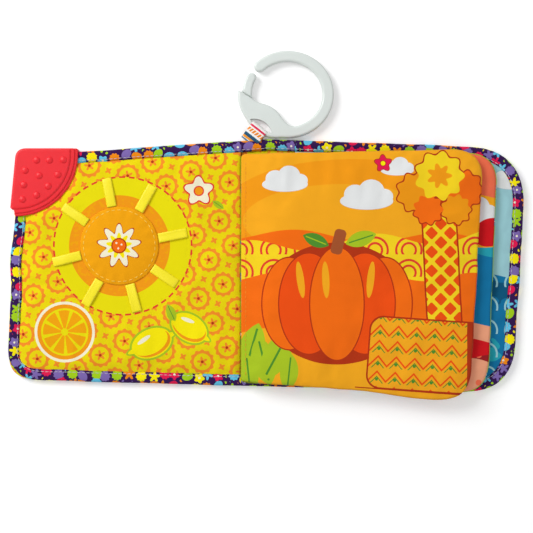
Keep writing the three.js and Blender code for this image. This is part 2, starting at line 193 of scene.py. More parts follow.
SILICONE = MouldedFinish(0.42, 1.43, 0.25, (0.004, 0.001, 0.001), 12, 2.0, (0.95, 1.04), 0.12, 0.05)
ABS_PLASTIC = MouldedFinish(0.34, 1.54, 0.1, (0.002, 0.002, 0.002), 25, 1.0, (0.97, 1.03), 0.1, 0.03)


@dataclass(frozen=True)
class Stuffing:
    """How padded cloth behaves in the cloth solver, and how much of its wrinkles and rise is kept."""

    pressure: float = 1.5
    slack: float = 0.03
    stiffness: float = 30.0
    bending: float = 1.5
    frames: int = 16
    wrinkle_share: float = 0.7
    rise_share: float = 0.1
    wrinkle_mm: float = 16.0
    dip_share: float = 0.45
    outward: float = 1.0


class Print:
    """Inks laid one over the other on a cloth, in millimetres of the book's plan."""

    def __init__(self, tree: NodeTree, ground: Ink, on_uv: bool = False) -> None:
        """Starts a print.

        Args:
            tree: The material's node tree.
            ground: Colour of the bare cloth.
            on_uv: Whether the print follows the piece's UV map, in metres, instead of the plan.
        """
        self.tree = tree
        place = put(tree, "UVMap").outputs[0] if on_uv else put(tree, "TexCoord").outputs["Object"]
        self.plan = self.vector("MULTIPLY", place, (1000.0, 1000.0, 0.0))
        self.x, self.y = self.split(self.plan)
        self.colour: object = srgb(ground.value)

    def split(self, place: NodeSocket) -> tuple[NodeSocket, NodeSocket]:
        """Gives the X and the Y of coordinates."""
        parts = put(self.tree, "SeparateXYZ", {0: place}).outputs
        return parts[0], parts[1]

    def math(self, operation: str, *values: object) -> NodeSocket:
        """Adds a Math node on these values and returns its result."""
        return put(self.tree, "Math", dict(enumerate(values)), operation=operation).outputs[0]

    def vector(self, operation: str, *values: object) -> NodeSocket:
        """Adds a Vector Math node and returns its result, which is a number for a length or distance."""
        node = put(self.tree, "VectorMath", dict(enumerate(values)), operation=operation)
        return node.outputs["Value" if operation in ("DISTANCE", "LENGTH") else "Vector"]

    def noise(self, size: float, detail: float) -> NodeSocket:
        """Gives noise over the plan, with features of this size in millimetres."""
        inputs = {"Vector": self.plan, "Scale": 1 / size, "Detail": detail}
        return put(self.tree, "TexNoise", inputs).outputs["Fac"]

    def ink(self, mask: NodeSocket, ink: "Ink | NodeSocket") -> None:
        """Lays an ink, of the list or from a colour socket, where the mask is one."""
        colour = srgb(ink.value) if isinstance(ink, Ink) else ink
        inputs = {0: mask, 6: self.colour, 7: colour}
        self.colour = put(self.tree, "Mix", inputs, data_type="RGBA").outputs[2]

    def local(self, centre: Spot, size: Spot = (1, 1), angle: float = 0,
              at: NodeSocket | None = None) -> NodeSocket:
        """Gives coordinates about a centre, turned and divided by a size."""
        inputs = {
            "Vector": self.plan if at is None else at,
            "Location": (centre[0], centre[1], 0.0),
            "Rotation": (0.0, 0.0, math.radians(angle)),
            "Scale": (size[0], size[1], 1.0),
        }
        return put(self.tree, "Mapping", inputs, vector_type="TEXTURE").outputs[0]

    def tiled(self, pitch: Spot, offset: Spot, angle: float = 0) -> NodeSocket:
        """Repeats the plan on a lattice: coordinates about the middle of each cell."""
        at = self.local(offset, angle=angle)
        half = (pitch[0] / 2, pitch[1] / 2, 1.0)
        cell = self.vector("WRAP", at, half, tuple(-v for v in half))
        return self.vector("MULTIPLY", cell, (1.0, 1.0, 0.0))

    def apart(self, centre: Spot, at: NodeSocket | None) -> NodeSocket:
        """Gives the distance from a centre."""
        return self.vector("DISTANCE", self.plan if at is None else at, (centre[0], centre[1], 0.0))

    def bearing(self, at: NodeSocket, count: float) -> NodeSocket:
        """Gives the angle about the middle of coordinates, times a count."""
        x, y = self.split(at)
        return self.math("MULTIPLY", self.math("ARCTAN2", y, x), float(count))

    def disc(self, centre: Spot, radius: float, at: NodeSocket | None = None) -> NodeSocket:
        """Masks a disc."""
        return self.math("LESS_THAN", self.apart(centre, at), radius)

    def ring(self, centre: Spot, radius: float, half_width: float,
             at: NodeSocket | None = None) -> NodeSocket:
        """Masks a ring."""
        return self.math("COMPARE", self.apart(centre, at), radius, half_width)

    def ellipse(self, centre: Spot, radii: Spot, angle: float = 0,
                at: NodeSocket | None = None) -> NodeSocket:
        """Masks an ellipse."""
        return self.math("LESS_THAN", self.vector("LENGTH", self.local(centre, radii, angle, at)), 1.0)

    def bar(self, centre: Spot, half: Spot, angle: float = 0, radius: float = 0.5,
            at: NodeSocket | None = None) -> NodeSocket:
        """Masks a rectangle with round corners."""
        folded = self.vector("ABSOLUTE", self.local(centre, angle=angle, at=at))
        inner = (half[0] - radius, half[1] - radius, 0.0)
        outside = self.vector("MAXIMUM", self.vector("SUBTRACT", folded, inner), (0.0, 0.0, 0.0))
        return self.math("LESS_THAN", self.vector("LENGTH", outside), radius)

    def petals(self, centre: Spot, radius: float, count: int, depth: float, angle: float = 0,
               at: NodeSocket | None = None) -> NodeSocket:
        """Masks a flower or a star: a disc whose edge goes in and out."""
        here = self.local(centre, angle=angle, at=at)
        wave = self.math("COSINE", self.bearing(here, count))
        edge = self.math("MULTIPLY_ADD", wave, depth * radius, radius * (1 - depth))
        return self.math("LESS_THAN", self.vector("LENGTH", here), edge)

    def below(self, height: float, swing: float = 0, wave_mm: float = 60, shift: float = 0,
              slope: float = 0) -> NodeSocket:
        """Masks all that lies below a wavy line."""
        phase = self.math("MULTIPLY_ADD", self.x, TAU / wave_mm, shift)
        line = self.math("MULTIPLY_ADD", self.math("SINE", phase), swing, height)
        return self.math("LESS_THAN", self.y, self.math("MULTIPLY_ADD", self.x, slope, line))

    def both(self, first: NodeSocket, second: NodeSocket) -> NodeSocket:
        """Masks where both masks are one."""
        return self.math("MULTIPLY", first, second)

    def without(self, first: NodeSocket, second: NodeSocket) -> NodeSocket:
        """Masks the first mask where the second is zero."""
        return self.math("SUBTRACT", first, self.both(first, second))

    def either(self, *masks: NodeSocket) -> NodeSocket:
        """Masks where any of the masks is one."""
        joined = masks[0]
        for mask in masks[1:]:
            joined = self.math("MAXIMUM", joined, mask)
        return joined


class Surface:
    """A material being made: its node tree, its shader, and the relief laid on it so far."""

    def __init__(self, name: str, inputs: dict[str, object]) -> None:
        """Starts a material.

        Args:
            name: The material's name.
            inputs: Values of the shader's inputs, by name.
        """
        self.material = bpy.data.materials.new(name)
        self.material.use_nodes = True
        self.tree = self.material.node_tree
        self.shader = self.tree.nodes["Principled BSDF"]
        for key, value in inputs.items():
            self.shader.inputs[key].default_value = value
        self.place = put(self.tree, "TexCoord").outputs["Object"]
        self.relief: dict[str, NodeSocket] = {}

    def noise(self, size_mm: float, detail: float, **more: float) -> NodeSocket:
        """Gives noise over the piece, with features of this size."""
        inputs = {"Vector": self.place, "Scale": 1 / (size_mm * MM), "Detail": detail, **more}
        return put(self.tree, "TexNoise", inputs).outputs["Fac"]

    def tone(self, colour: object, size_mm: float, detail: float, span: tuple[float, float]) -> None:
        """Colours the surface, with a brightness that drifts by a few per cent."""
        shade = put(self.tree, "MapRange", {0: self.noise(size_mm, detail), 3: span[0], 4: span[1]})
        toned = put(self.tree, "HueSaturation", {"Value": shade.outputs[0], "Color": colour})
        self.tree.links.new(toned.outputs[0], self.shader.inputs["Base Color"])

    def bump(self, strength: float, depth_mm: float, height: NodeSocket) -> None:
        """Lays fine relief over what is there already."""
        inputs = {"Strength": strength, "Distance": depth_mm * MM, "Height": height, **self.relief}
        self.relief = {"Normal": put(self.tree, "Bump", inputs).outputs[0]}
        self.tree.links.new(self.relief["Normal"], self.shader.inputs["Normal"])


def cloth_material(name: str, finish: ClothFinish, ground: Ink,
                   draw: Callable[[Print], None], on_uv: bool = False) -> Material:
    """Makes a printed cloth.

    Args:
        name: The material's name.
        finish: How the cloth is woven and finished.
        ground: Colour of the bare cloth.
        draw: Lays the inks.
        on_uv: Whether the print follows the piece's UV map.

    Returns:
        The material.
    """
    surface = Surface(name, {"Roughness": finish.roughness, "Sheen Weight": finish.sheen,
                             "Sheen Roughness": 0.5, "Specular IOR Level": 0.12})
    art = Print(surface.tree, ground, on_uv)
    draw(art)
    # Ink sinks unevenly into the brushed face, so the colour drifts by a few per cent.
    surface.tone(art.colour, 18, 3.0, (0.93, 1.05))
    # Plain weave: warp and weft crossing, drawn coarser than life so that it shows at arm's length.
    pitch = TAU / (finish.weave_mm * MM)
    warp, weft = art.split(art.vector("SINE", art.vector("MULTIPLY", surface.place, (pitch, pitch, pitch))))
    creases = surface.noise(finish.crease_mm, 4.0, Roughness=0.55, Distortion=0.6)
    surface.bump(finish.crease_depth, 0.6, creases)
    surface.bump(finish.weave_depth, 0.12, art.math("MULTIPLY", warp, weft))
    return surface.material


def ribbon_print(art: Print, u: NodeSocket, v: NodeSocket, finish: SatinFinish) -> None:
    """Prints bands across the hanging ribbon, alike on either side of the loop's fold.

    Args:
        art: The print.
        u: Place across the ribbon, in metres.
        v: Place along it.
        finish: Where the fold is and how long the bands' repeat is.
    """
    share = art.math("MULTIPLY", art.math("ABSOLUTE", art.math("SUBTRACT", v, finish.print_fold_m)),
                     1 / finish.print_repeat_m)
    bands = ((0.17, 0.045, Ink.PINK_RED), (0.36, 0.085, Ink.ORANGE), (0.62, 0.09, Ink.SEA_DARK),
             (0.75, 0.05, Ink.SUN_RING), (0.86, 0.04, Ink.SEA))
    for middle, half, colour in bands:
        art.ink(art.math("COMPARE", share, middle, half), colour)
    slant = art.math("MULTIPLY_ADD", u, 420.0, art.math("MULTIPLY", share, 3.0))
    gaps = art.math("GREATER_THAN", art.math("FRACT", slant), 0.68)
    art.ink(art.both(gaps, art.math("COMPARE", share, 0.36, 0.09)), Ink.WHITE)
    curls = art.math("GREATER_THAN", art.math("FRACT", art.math("MULTIPLY", u, 190.0)), 0.5)
    art.ink(art.both(curls, art.math("COMPARE", share, 1.02, 0.09)), Ink.LIME)


def satin_material(name: str, finish: SatinFinish, ink: Ink, stripes: bool = False) -> Material:
    """Makes a satin ribbon, plain or with printed bands.

    Args:
        name: The material's name.
        finish: How the ribbon is woven.
        ink: Colour of the ribbon.
        stripes: Whether it carries the printed bands.

    Returns:
        The material.
    """
    surface = Surface(name, {"Roughness": finish.roughness, "Sheen Weight": finish.sheen,
                             "Base Color": srgb(ink.value)})
    art = Print(surface.tree, ink, on_uv=True)
    u, v = art.split(put(surface.tree, "UVMap").outputs[0])
    if stripes:
        ribbon_print(art, u, v, finish)
        surface.tree.links.new(art.colour, surface.shader.inputs["Base Color"])
    # The filament floats show as fine ribs across the ribbon.
    ribs = art.math("SINE", art.math("MULTIPLY", v, TAU / (finish.rib_mm * MM)))
    surface.bump(finish.rib_depth, 0.08, ribs)
    return surface.material


def moulded_material(name: str, finish: MouldedFinish, code: str) -> Material:
    """Makes silicone or ABS: soft gloss, a light haze in the colour, and a fine mould grain."""
    surface = Surface(name, {"Roughness": finish.roughness, "IOR": finish.ior,
                             "Subsurface Weight": finish.glow, "Subsurface Radius": finish.glow_reach})
    surface.tone(srgb(code), finish.drift_mm, finish.drift_detail, finish.drift_range)
    surface.bump(finish.grain_strength, finish.grain_depth_mm, surface.noise(finish.grain_mm, 1.0))
    return surface.material


def plain_material(name: str, code: str, roughness: float) -> Material:
    """Makes sewing thread, film or wadding: one colour with a fine mottle."""
    surface = Surface(name, {"Roughness": roughness})
    surface.tone(srgb(code), 3, 2.0, (0.9, 1.06))
    return surface.material


@dataclass
class CoverPlan:
    """Outline of the open cover, in millimetres: corners as x, y and corner radius, as the part has them."""

    front_outer_top: Corner = (-181.3, 77.8, 12)
    front_outer_bottom: Corner = (-190, -84.8, 20)
    spine_bottom: Corner = (0, -89.8, 0)
    back_outer_bottom: Corner = (177.5, -94.8, 36)
    back_outer_top: Corner = (188.5, 83, 44)
    spine_top: Corner = (0, 89.9, 0)
    spine_half_width: float = 19.6

    def corners(self) -> list[Corner]:
        """Lists the corners counter-clockwise from the front cover's outer top."""
        return [self.front_outer_top, self.front_outer_bottom, self.spine_bottom,
                self.back_outer_bottom, self.back_outer_top, self.spine_top]

    def rim(self) -> Array:
        """Gives the cover's edge as evenly spaced points."""
        return rounded(self.corners())

    @staticmethod
    def cut(corners: list[Corner], first: int, second: int, x: float) -> Corner:
        """Gives the point at x on the side between two corners."""
        a, b = corners[first], corners[second]
        return x, a[1] + (b[1] - a[1]) * (x - a[0]) / (b[0] - a[0]), 0

    def panels(self, inset: float) -> dict[str, list[Corner]]:
        """Gives the corners of both cover panels and of the spine strip, inside an edge moved inwards."""
        corners = inset_corners(self.corners(), inset)
        edge = self.spine_half_width
        front_top, front_bottom = self.cut(corners, 5, 0, -edge), self.cut(corners, 1, 2, -edge)
        back_top, back_bottom = self.cut(corners, 4, 5, edge), self.cut(corners, 2, 3, edge)
        return {
            "front": [corners[0], corners[1], front_bottom, front_top],
            "back": [corners[4], back_top, back_bottom, corners[3]],
            "spine": [back_top, front_top, front_bottom, back_bottom],
        }


def inset_corners(corners: Sequence[Corner], inset: float) -> list[Corner]:
    """Moves every side of a counter-clockwise outline inwards.

    Args:
        corners: Corners as x, y and radius.
        inset: How far, in millimetres.

    Returns:
        The new corners.
    """
    sides = []
    for index, (x, y, _) in enumerate(corners):
        to = corners[(index + 1) % len(corners)]
        along = Vector((to[0] - x, to[1] - y)).normalized()
        sides.append((Vector((x - along.y * inset, y + along.x * inset)), along))
    moved = []
    for index, corner in enumerate(corners):
        (p, u), (q, v) = sides[index - 1], sides[index]
        reach = ((q.x - p.x) * v.y - (q.y - p.y) * v.x) / (u.x * v.y - u.y * v.x)
        moved.append((p.x + u.x * reach, p.y + u.y * reach, max(corner[2] - inset, 0)))
    return moved


def run_length(points: Array) -> Array:
    """Gives how far along a line each of its points lies."""
    return np.concatenate([[0], np.cumsum(np.linalg.norm(np.diff(points, axis=0), axis=1))])


def lifted(places: Array, heights: Array) -> list[Vector]:
    """Gives points in metres, from places in the plan and heights in millimetres."""
    return [Vector((x * MM, y * MM, z * MM)) for (x, y), z in zip(places, heights)]


def beyond(points: Array, centre: Spot, radius: float) -> Array:
    """Gives how far points in the plan lie outside a circle."""
    return np.hypot(*(points - centre).T) - radius


def rounded(corners: Sequence[Corner], step: float = 2.0) -> Array:
    """Draws an outline with round corners as evenly spaced points.

    Args:
        corners: Corners as x, y and radius.
        step: Distance between points, in millimetres.

    Returns:
        The points, one row each.
    """
    points: list[Vector] = []
    count = len(corners)
    for index, (x, y, radius) in enumerate(corners):
        here = Vector((x, y))
        before = (Vector(corners[index - 1][:2]) - here).normalized() * radius + here
        after = (Vector(corners[(index + 1) % count][:2]) - here).normalized() * radius + here
        for t in np.linspace(0, 1, 13) if radius > 0 else [0]:
            points.append(before * (1 - t) ** 2 + here * 2 * t * (1 - t) + after * t * t)
    line = np.array([p[:] for p in points])
    closed = np.vstack([line, line[:1]])
    lengths = run_length(closed)
    count = max(int(lengths[-1] / step), 8)
    marks = np.linspace(0, lengths[-1], count, endpoint=False)
    return np.column_stack([np.interp(marks, lengths, closed[:, axis]) for axis in (0, 1)])


def edge_distance(points: Array, outline: Array) -> Array:
    """Gives each point's distance from a closed outline, in millimetres."""
    best = np.full(len(points), np.inf)
    for a, b in zip(outline, np.roll(outline, -1, axis=0)):
        side = b - a
        along = np.clip(((points - a) @ side) / (side @ side), 0, 1)
        apart = np.hypot(*(points - a - along[:, None] * side).T)
        best = np.minimum(best, apart)
    return best


def around(points: Array, outline: Array) -> Array:
    """Gives, for each point, how far round the outline its nearest outline point lies, in millimetres."""
    nearest = [((outline - point) ** 2).sum(axis=1).argmin() for point in points]
    return run_length(outline)[nearest]


def smooth(value: Array, low: float, high: float) -> Array:
    """Eases from zero at low to one at high."""
    t = np.clip((value - low) / (high - low), 0, 1)
    return t * t * (3 - 2 * t)


def drift(points: Array, size: float, seed: float) -> Array:
    """Gives smooth noise from about -1 to 1 at each point, with features of this size in millimetres."""
    return np.array([noise.noise((x / size, y / size, seed)) for x, y in points])


@dataclass(frozen=True)
class Padding:
    """How stuffed cloth stands above its seam: a crown, puckers along the seam, and dents, in millimetres."""

    seam: float
    lead: float
    run: float
    pucker: float
    pucker_zone: tuple[float, float]
    pucker_fade: float
    pucker_pitch: float
    pucker_drift: float
    dent_zone: tuple[float, float]
    dent_sizes: tuple[float, float]
    dent_share: float
    dent_seed: float

    def rise(self, points: Array, depth: Array, along: Array, crown: float, wrinkle: float,
             seed: float) -> Array:
        """Gives how far the cloth stands above its seam.

        Args:
            points: Places in the plan.
            depth: Their distance from the edge.
            along: Their place round it.
            crown: How high the stuffing lifts the cloth.
            wrinkle: How deep the dents are.
            seed: Start of the random wrinkles.

        Returns:
            Heights in millimetres.
        """
        lift = crown * (1 - np.exp(-np.maximum(depth - self.seam + self.lead, 0) / self.run))
        phase = along * TAU / self.pucker_pitch
        wave = np.sin(phase + 3 * drift(np.column_stack([along, along * 0]), self.pucker_drift, seed))
        fade = np.exp(-np.maximum(depth - self.seam, 0) / self.pucker_fade)
        pucker = self.pucker * smooth(depth, *self.pucker_zone) * fade * wave
        coarse, fine = self.dent_sizes
        dents = drift(points, coarse, seed) + self.dent_share * drift(points, fine, seed + self.dent_seed)
        return lift + pucker + wrinkle * smooth(depth, *self.dent_zone) * dents


COVER_PADDING = Padding(seam=8.2, lead=1, run=9, pucker=0.5, pucker_zone=(7.2, 11.2), pucker_fade=8,
                        pucker_pitch=13, pucker_drift=31, dent_zone=(8.2, 30), dent_sizes=(46, 21),
                        dent_share=0.55, dent_seed=7)
LEAF_PADDING = Padding(seam=0, lead=0, run=6.5, pucker=0.6, pucker_zone=(0.5, 4), pucker_fade=11,
                       pucker_pitch=15, pucker_drift=37, dent_zone=(2, 24), dent_sizes=(52, 19),
                       dent_share=0.5, dent_seed=5)


def outline_grid(name: str, corners: Sequence[Corner], cells: tuple[int, int], height: Height,
                 stray: Callable[[Array], Array] | None = None) -> Object:
    """Makes a sheet whose grid follows a rounded outline, at a height that depends on place.

    Args:
        name: Name of the piece.
        corners: The sheet's four corners, counter-clockwise from its top right or its first.
        cells: Cells across and along.
        height: Gives heights from plan points, their distance from the edge and their place round it.
        stray: Gives, for edge points in the plan, how many millimetres the sewn edge strays outwards there.

    Returns:
        The new object, one layer thick, facing up.
    """
    outline = rounded(corners)
    square = {(1, 1): 0, (-1, 1): 1, (-1, -1): 2, (1, -1): 3}
    centre_x = sum(c[0] for c in corners) / 4
    centre_y = sum(c[1] for c in corners) / 4
    placed = {}
    for corner in corners:
        key = (1 if corner[0] > centre_x else -1, 1 if corner[1] > centre_y else -1)
        placed[key] = np.array(corner[:2])
    quad = np.array([placed[key] for key in square])
    bm = bmesh.new()
    bmesh.ops.create_grid(bm, x_segments=cells[0], y_segments=cells[1], size=1)
    uv = np.array([v.co.xy[:] for v in bm.verts])
    u, v = uv[:, 0:1], uv[:, 1:2]
    weights = np.hstack([(1 + u) * (1 + v), (1 - u) * (1 + v), (1 - u) * (1 - v), (1 + u) * (1 - v)]) / 4
    flat = weights @ quad
    middle = quad.mean(axis=0)
    reach = np.abs(uv).max(axis=1)
    offset = flat - middle
    turn = np.arctan2(offset[:, 1], offset[:, 0])
    rim = outline - middle
    rim_turn = np.arctan2(rim[:, 1], rim[:, 0])
    order = np.argsort(rim_turn)
    limit = np.interp(turn, rim_turn[order], np.hypot(*rim[order].T), period=TAU)
    edge_share = reach ** 3
    final = np.hypot(*offset.T) * (1 - edge_share) + limit * reach * edge_share
    ray = np.column_stack([np.cos(turn), np.sin(turn)])
    plan = middle + ray * final[:, None]
    depth = np.where(reach > 0.9999, 0.0, edge_distance(plan, outline))
    heights = height(plan, depth, around(plan, outline))
    if stray is not None:
        plan = plan + ray * (stray(middle + ray * limit[:, None]) * reach ** 6)[:, None]
    for vert, place in zip(bm.verts, lifted(plan, heights)):
        vert.co = place
    bmesh.ops.recalc_face_normals(bm, faces=bm.faces)
    if sum(f.normal.z for f in bm.faces) < 0:
        bmesh.ops.reverse_faces(bm, faces=bm.faces)
    return finish_mesh(name, bm)


def stand(name: str, data: bpy.types.ID, place: Spot = (0, 0, 0)) -> Object:
    """Adds an object to the scene."""
    item = bpy.data.objects.new(name, data)
    item.location = place
    bpy.context.scene.collection.objects.link(item)
    return item


def finish_mesh(name: str, bm: bmesh.types.BMesh, smooth_faces: bool = True) -> Object:
    """Writes a bmesh to a new object at the origin and frees it."""
    mesh = bpy.data.meshes.new(name)
    bm.to_mesh(mesh)
    bm.free()
    for polygon in mesh.polygons:
        polygon.use_smooth = smooth_faces
    return stand(name, mesh)


def swell(piece: Object, stuffing: Stuffing, room: Callable[[Array], Array]) -> None:
    """Lets the cloth solver swell and wrinkle a sheet that is sewn down all round, and keeps the result.

    A closed copy of the sheet is simulated with its seam pinned, and its face then goes back to the sheet.

    Args:
        piece: One-layer sheet, open at its edge.
        stuffing: Pressure, slack and stiffness of the cloth.
        room: Gives, for points in the plan, how many millimetres the cloth may rise or sink there: none where
            it is sewn down.
    """
    sheet = piece.data
    bm = bmesh.new()
    bm.from_mesh(sheet)
    rim = [edge for edge in bm.edges if edge.is_boundary]
    before = np.array([vert.co[:] for vert in sheet.vertices]) / MM
    cap = room(before[:, :2])
    seam = {vert.index for edge in rim for vert in edge.verts} | set(np.flatnonzero(cap < 0.01).tolist())
    bmesh.ops.contextual_create(bm, geom=rim)
    bmesh.ops.recalc_face_normals(bm, faces=bm.faces)
    trial = finish_mesh(piece.name + "_trial", bm)
    group = trial.vertex_groups.new(name="seam")
    group.add(sorted(seam), 1.0, "REPLACE")
    solver = trial.modifiers.new("padding", "CLOTH")
    settings = solver.settings
    settings.quality = 4
    settings.mass = 0.1
    settings.tension_stiffness = settings.compression_stiffness = stuffing.stiffness
    settings.shear_stiffness = stuffing.stiffness / 2
    settings.bending_stiffness = stuffing.bending
    settings.use_pressure = True
    settings.uniform_pressure_force = stuffing.pressure
    settings.shrink_min = -stuffing.slack
    settings.vertex_group_mass = "seam"
    settings.effector_weights.gravity = 0
    solver.collision_settings.use_collision = False
    for frame_number in range(1, stuffing.frames + 1):
        bpy.context.scene.frame_set(frame_number)
    solved = trial.evaluated_get(bpy.context.evaluated_depsgraph_get()).data
    after = np.array([vert.co[:] for vert in solved.vertices])[:len(before)] / MM
    apart = ((before[:, None, :2] - before[None, :, :2]) ** 2).sum(axis=2)
    near = np.exp(-apart / (2 * stuffing.wrinkle_mm ** 2))
    rise = (near @ (after - before)) / near.sum(axis=1)[:, None]
    kept = (after - before - rise) * stuffing.wrinkle_share + rise * stuffing.rise_share
    limit = np.maximum(cap, 0.01)[:, None]
    move = limit * np.tanh(kept / limit)
    move[:, 2] *= np.where(move[:, 2] * stuffing.outward < 0, stuffing.dip_share, 1)
    move[sorted(seam)] = 0
    for vert, place in zip(sheet.vertices, before + move):
        vert.co = place * MM
    bpy.context.scene.frame_set(1)
    bpy.data.objects.remove(trial)


def settled_mesh(piece: Object) -> bpy.types.Mesh:
    """Gives a new mesh of an object as its curve settings or its modifiers leave it."""
    return bpy.data.meshes.new_from_object(piece.evaluated_get(bpy.context.evaluated_depsgraph_get()))


def shade_smooth(mesh: bpy.types.Mesh, sharp: float) -> None:
    """Shades a moulding smooth, except across edges sharper than this many degrees."""
    for polygon in mesh.polygons:
        polygon.use_smooth = True
    mesh.set_sharp_from_angle(angle=math.radians(sharp))


def thicken(piece: Object, thickness: float, offset: float = -1, smoothing: int = 0) -> None:
    """Gives a sheet its thickness, below its face unless offset says otherwise, in millimetres."""
    if smoothing:
        soft = piece.modifiers.new("soft", "SUBSURF")
        soft.levels = soft.render_levels = smoothing
    modifier = piece.modifiers.new("thickness", "SOLIDIFY")
    modifier.thickness = thickness * MM
    modifier.offset = offset


def dress(piece: Object, material: Material, body: str | None, slot: str) -> Object:
    """Gives a piece its material and the body that it rides on."""
    piece.data.materials.clear()
    piece.data.materials.append(material)
    if body:
        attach(piece, body)
    return piece


def stitch_row(name: str, path: Sequence[Vector], pitch: float, length: float, width: float,
               closed: bool = False) -> Object:
    """Makes a row of stitches that lie along a path.

    Args:
        name: Name of the piece.
        path: Points on the sewn surface, in metres.
        pitch: Distance from stitch to stitch, in millimetres.
        length: Length of one stitch.
        width: Width of one stitch.
        closed: Whether the row runs round to its start.

    Returns:
        The row as one object.
    """
    points = np.array([p[:] for p in path])
    if closed:
        points = np.vstack([points, points[:1]])
    marks = run_length(points)
    count = max(int(marks[-1] / (pitch * MM)), 2)
    bm = bmesh.new()
    for index in range(count):
        at = marks[-1] * (index + 0.5) / count
        here, ahead, back = (np.array([np.interp(s, marks, points[:, k]) for k in range(3)])
                             for s in (at, at + length * MM / 2, at - length * MM / 2))
        along = Vector(ahead - back).normalized()
        turn = along.to_track_quat("X", "Z").to_matrix().to_4x4()
        size = Matrix.Diagonal((length * MM / 2, width * MM / 2, width * MM * 0.4, 1))
        bmesh.ops.create_uvsphere(bm, u_segments=6, v_segments=4, radius=1,
                                  matrix=Matrix.Translation(Vector(here)) @ turn @ size)
    return finish_mesh(name, bm)


def swept(name: str, path: Array, side: Array, profile: Array, closed_profile: bool = True) -> Object:
    """Draws a profile along a path, as a grid rolled round it.

    Args:
        name: Name of the piece.
        path: Points in millimetres.
        side: For each point, the direction that the profile's first coordinate runs in. Its second runs up.
        profile: Points of the profile, in millimetres, one row each or one such set for each path point.
        closed_profile: Whether the profile closes on itself, which makes a tube with end caps.

    Returns:
        The piece, with a UV map in metres: round the profile, and along the path.
    """
    count = len(path)
    shape = np.broadcast_to(profile, (count, *profile.shape[-2:]))
    if closed_profile:
        shape = np.concatenate([shape, shape[:, :1]], axis=1)
    across = shape.shape[1]
    bm = bmesh.new()
    layer = bm.loops.layers.uv.new("UVMap")
    bmesh.ops.create_grid(bm, x_segments=across - 1, y_segments=count - 1, size=1)
    run, girth = run_length(path), run_length(shape[0])
    where = {vert: (round((vert.co.x + 1) / 2 * (across - 1)), round((vert.co.y + 1) / 2 * (count - 1)))
             for vert in bm.verts}
    for face in bm.faces:
        for loop in face.loops:
            i, j = where[loop.vert]
            loop[layer].uv = (girth[i] * MM, run[j] * MM)
    for vert, (i, j) in where.items():
        vert.co = Vector(path[j] + side[j] * shape[j, i, 0] + UP * shape[j, i, 1]) * MM
    if closed_profile:
        bmesh.ops.remove_doubles(bm, verts=bm.verts, dist=1e-6)
        bmesh.ops.holes_fill(bm, edges=[e for e in bm.edges if e.is_boundary], sides=0)
    bmesh.ops.recalc_face_normals(bm, faces=bm.faces)
    return finish_mesh(name, bm)


def ribbon(name: str, path: Array, across: Spot, width: float, sides: int, cup: Callable[[Array], Array],
           thickness: float) -> Object:
    """Draws a ribbon along a path.

    Args:
        name: Name of the piece.
        path: Points in millimetres.
        across: Direction of its width.
        width: Its width, in millimetres.
        sides: Points across it.
        cup: Gives how high the ribbon stands above the path, from places across it between -1 and 1.
        thickness: Its thickness, in millimetres.

    Returns:
        The ribbon.
    """
    wide = np.linspace(-1, 1, sides)
    profile = np.zeros((len(path), sides, 2))
    profile[:, :, 0] = wide * width / 2
    profile[:, :, 1] = cup(wide)
    piece = swept(name, path, np.tile(np.array(across), (len(path), 1)), profile, closed_profile=False)
    thicken(piece, thickness, offset=0)
    return piece


def plate(name: str, outlines: Sequence[Array], low: float, high: float, bevel: float,
          steps: int = 4) -> Object:
    """Makes a flat moulding with round edges from an outline and its holes, in millimetres."""
    curve = bpy.data.curves.new(name, "CURVE")
    curve.dimensions = "2D"
    curve.fill_mode = "BOTH"
    for outline in outlines:
        spline = curve.splines.new("POLY")
        spline.points.add(len(outline) - 1)
        for point, (x, y) in zip(spline.points, outline):
            point.co = (x * MM, y * MM, 0, 1)
        spline.use_cyclic_u = True
    curve.extrude = ((high - low) / 2 - bevel) * MM
    curve.bevel_depth = bevel * MM
    curve.bevel_resolution = steps
    curve.offset = -bevel * MM
    holder = stand(name + "_outline", curve)
    mesh = settled_mesh(holder)
    bpy.data.objects.remove(holder)
    bpy.data.curves.remove(curve)
    bm = bmesh.new()
    bm.from_mesh(mesh)
    bpy.data.meshes.remove(mesh)
    bmesh.ops.translate(bm, verts=bm.verts, vec=(0, 0, (low + high) / 2 * MM))
    bmesh.ops.remove_doubles(bm, verts=bm.verts, dist=1e-6)
    bmesh.ops.dissolve_degenerate(bm, edges=bm.edges, dist=1e-7)
    bmesh.ops.recalc_face_normals(bm, faces=bm.faces)
    piece = finish_mesh(name, bm)
    shade_smooth(piece.data, SHARP_DEGREES)
    return piece


def combine(body: Object, steps: Sequence[tuple[Object, str]]) -> None:
    """Joins helpers to a moulding or cuts them out of it, applies the result and removes the helpers.

    Args:
        body: The moulding.
        steps: Each helper with UNION or DIFFERENCE, in order.
    """
    for helper, operation in steps:
        cut = body.modifiers.new(helper.name, "BOOLEAN")
        cut.operation = operation
        cut.object = helper
        cut.solver = "MANIFOLD"
    settled = settled_mesh(body)
    body.modifiers.clear()
    body.data = settled
    for helper, _ in steps:
        bpy.data.objects.remove(helper)
    shade_smooth(settled, SHARP_DEGREES)


def weigh_normals(piece: Object) -> None:
    """Keeps flat faces flat to the eye beside round edges."""
    modifier = piece.modifiers.new("flat_faces", "WEIGHTED_NORMAL")
    modifier.keep_sharp = True


def bezier(points: Sequence[Spot], steps: int = 12) -> list[tuple[float, float]]:
    """Gives points on one cubic curve, without its last."""
    a, b, c, d = (np.array(p, float) for p in points)
    ts = [k / steps for k in range(steps)]
    return [tuple(a * (1 - t) ** 3 + 3 * b * t * (1 - t) ** 2 + 3 * c * t * t * (1 - t) + d * t ** 3)
            for t in ts]


